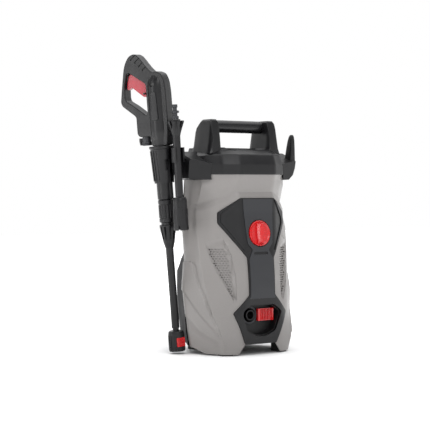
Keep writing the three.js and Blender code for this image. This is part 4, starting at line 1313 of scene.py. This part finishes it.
def make_nozzle():
    rows = []
    for z, size in ((-383.4, 0.94), (-382, 0.985), (-380, 1.0), (-352, 1.0), (-346, 0.96), (-343, 0.9),
            (-342.1, 0.84)):
        rows.append([(x * size, y * size, z) for x, y in squarish(17.7, 0.05, 64)])
    head = loft("nozzle_cap", rows, NOZZLE_LINE)
    bore = rod("bore", 6.9, -400, -300, GUN_LINE, 40)
    mouth = lathe("mouth", [(0, -390), (11, -390), (8, -376), (0, -376)], GUN_LINE, 40)
    pocket = block("pocket", 13.9, 26, -9.5, 9.5, -373.5, -354.5, NOZZLE_LINE)
    cut(head, bore, mouth, pocket)
    for i in range(20):
        angle = 18 * i
        if min(angle, 360 - angle) < 36:
            continue
        groove = block("groove", 16.4, 22, -1.1, 1.1, -380, -350, NOZZLE_LINE @ turn(angle, "Z"))
        cut(head, groove)
    soften(head, 0.35, 1, 45)
    finish(head, "nozzle", BLACK, ["nozzle_head"])
    insert = block("nozzle_window", 14.0, 17.4, -9.2, 9.2, -373.2, -354.8, NOZZLE_LINE)
    for i in range(3):
        z = -370 + i * 5
        cut(insert, block("line", 16.8, 26, -6.5, 6.5, z, z + 1.3, NOZZLE_LINE))
    soften(insert, 0.5)
    finish(insert, "nozzle", RED, ["nozzle_insert"])


def make_spare():
    plug = lathe("spare_lance_plug", [(3, 97.4), (7, 97.4), (7, 103), (4.6, 104), (4.6, 109), (7.5, 110),
        (7.5, 114), (4.2, 115), (4.2, 120), (5.5, 121), (5.5, 126.4), (5, 127), (3, 127), (3, 97.4)],
        SPARE_LINE, 40)
    join(plug, *[block("ear", 5, 8.6, -1.8, 1.8, 110, 114, SPARE_LINE @ turn(90 * i, "Z"))
        for i in range(4)])
    soften(plug, 0.3, 1, 40)
    finish(plug, "spare", CHARCOAL, ["spare_plug"])
    stem = lathe("spare_lance_tube", [(3, -60), (8, -60), (8, 64), (8.8, 66), (9, 68), (14.4, 84),
        (16.6, 90), (17, 91), (17, 93.6), (16.4, 94), (10, 94), (10, 97), (3, 97), (3, -60)], SPARE_LINE,
        48)
    cut(stem, *[block("gap", 11.4, 20, -2.3, 2.3, 72, 96, SPARE_LINE @ turn(40 * i, "Z"))
        for i in range(9)])
    soften(stem, 0.35, 1, 45)
    finish(stem, "spare", BLACK, ["spare_stem"])
    head = lathe("spare_lance_head", [(6, -127), (14.6, -127), (15.4, -126.4), (15.8, -125), (15.5, -119),
        (15, -112), (14.6, -68), (14, -64), (12.6, -61), (12, -60.6), (6, -60.6), (6, -127)], SPARE_LINE,
        48)
    look = SPARE_LINE @ turn(-125, "Z")
    cut(head, block("window", 12, 20, -4.4, 4.4, -82, -67, look),
        block("mouth", -12, 12, -12, 12, -130, -118, SPARE_LINE))
    join(head, *ribs_round(SPARE_LINE, 14.6, 14, 1.4, 0.7, -118, -84))
    soften(head, 0.35, 1, 45)
    finish(head, "spare", BLACK, ["spare_head"])


# ---------------------------------------------------------------- inner works and small CAD parts

CAD_LOOKS = {
    STEEL: ["motor_stator", "motor_bearing", "wobble_plate", "piston_1", "piston_2", "piston_3"],
    COPPER: ["motor_armature"],
    NYLON: ["motor_end_cap", "cooling_fan", "drive_gear", "inlet_filter"],
    ALUMINIUM: ["gear_housing", "pump_body", "pump_head"],
    BRASS: ["unloader_valve", "gun_valve"],
    DARK_STEEL: ["gun_screw_1", "gun_screw_2", "trigger_pin"],
    RUBBER: ["foot_front_left", "foot_front_right", "foot_rear_left", "foot_rear_right", "cord_gland"],
    CHARCOAL: ["pressure_switch", "switch_box", "capacitor"],
    MATT_BLACK: ["base_plate", "inlet_connector"],
}


def dress_cad():
    """Gives each CAD node that stays in sight of a look inside its finish."""
    for material, names in CAD_LOOKS.items():
        for name in names:
            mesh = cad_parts[name].data
            mesh.materials.clear()
            mesh.materials.append(material)


make_shell()
make_trim()
make_recess()
make_slider()
make_knob()
make_vents()
make_rear()
make_cover()
make_wings()
make_holster()
make_clip()
make_gun_half(-1, "gun_shell_right")
make_gun_half(1, "gun_shell_left")
make_gun_trim()
make_trigger()
make_lance()
make_nozzle()
make_spare()
dress_cad()
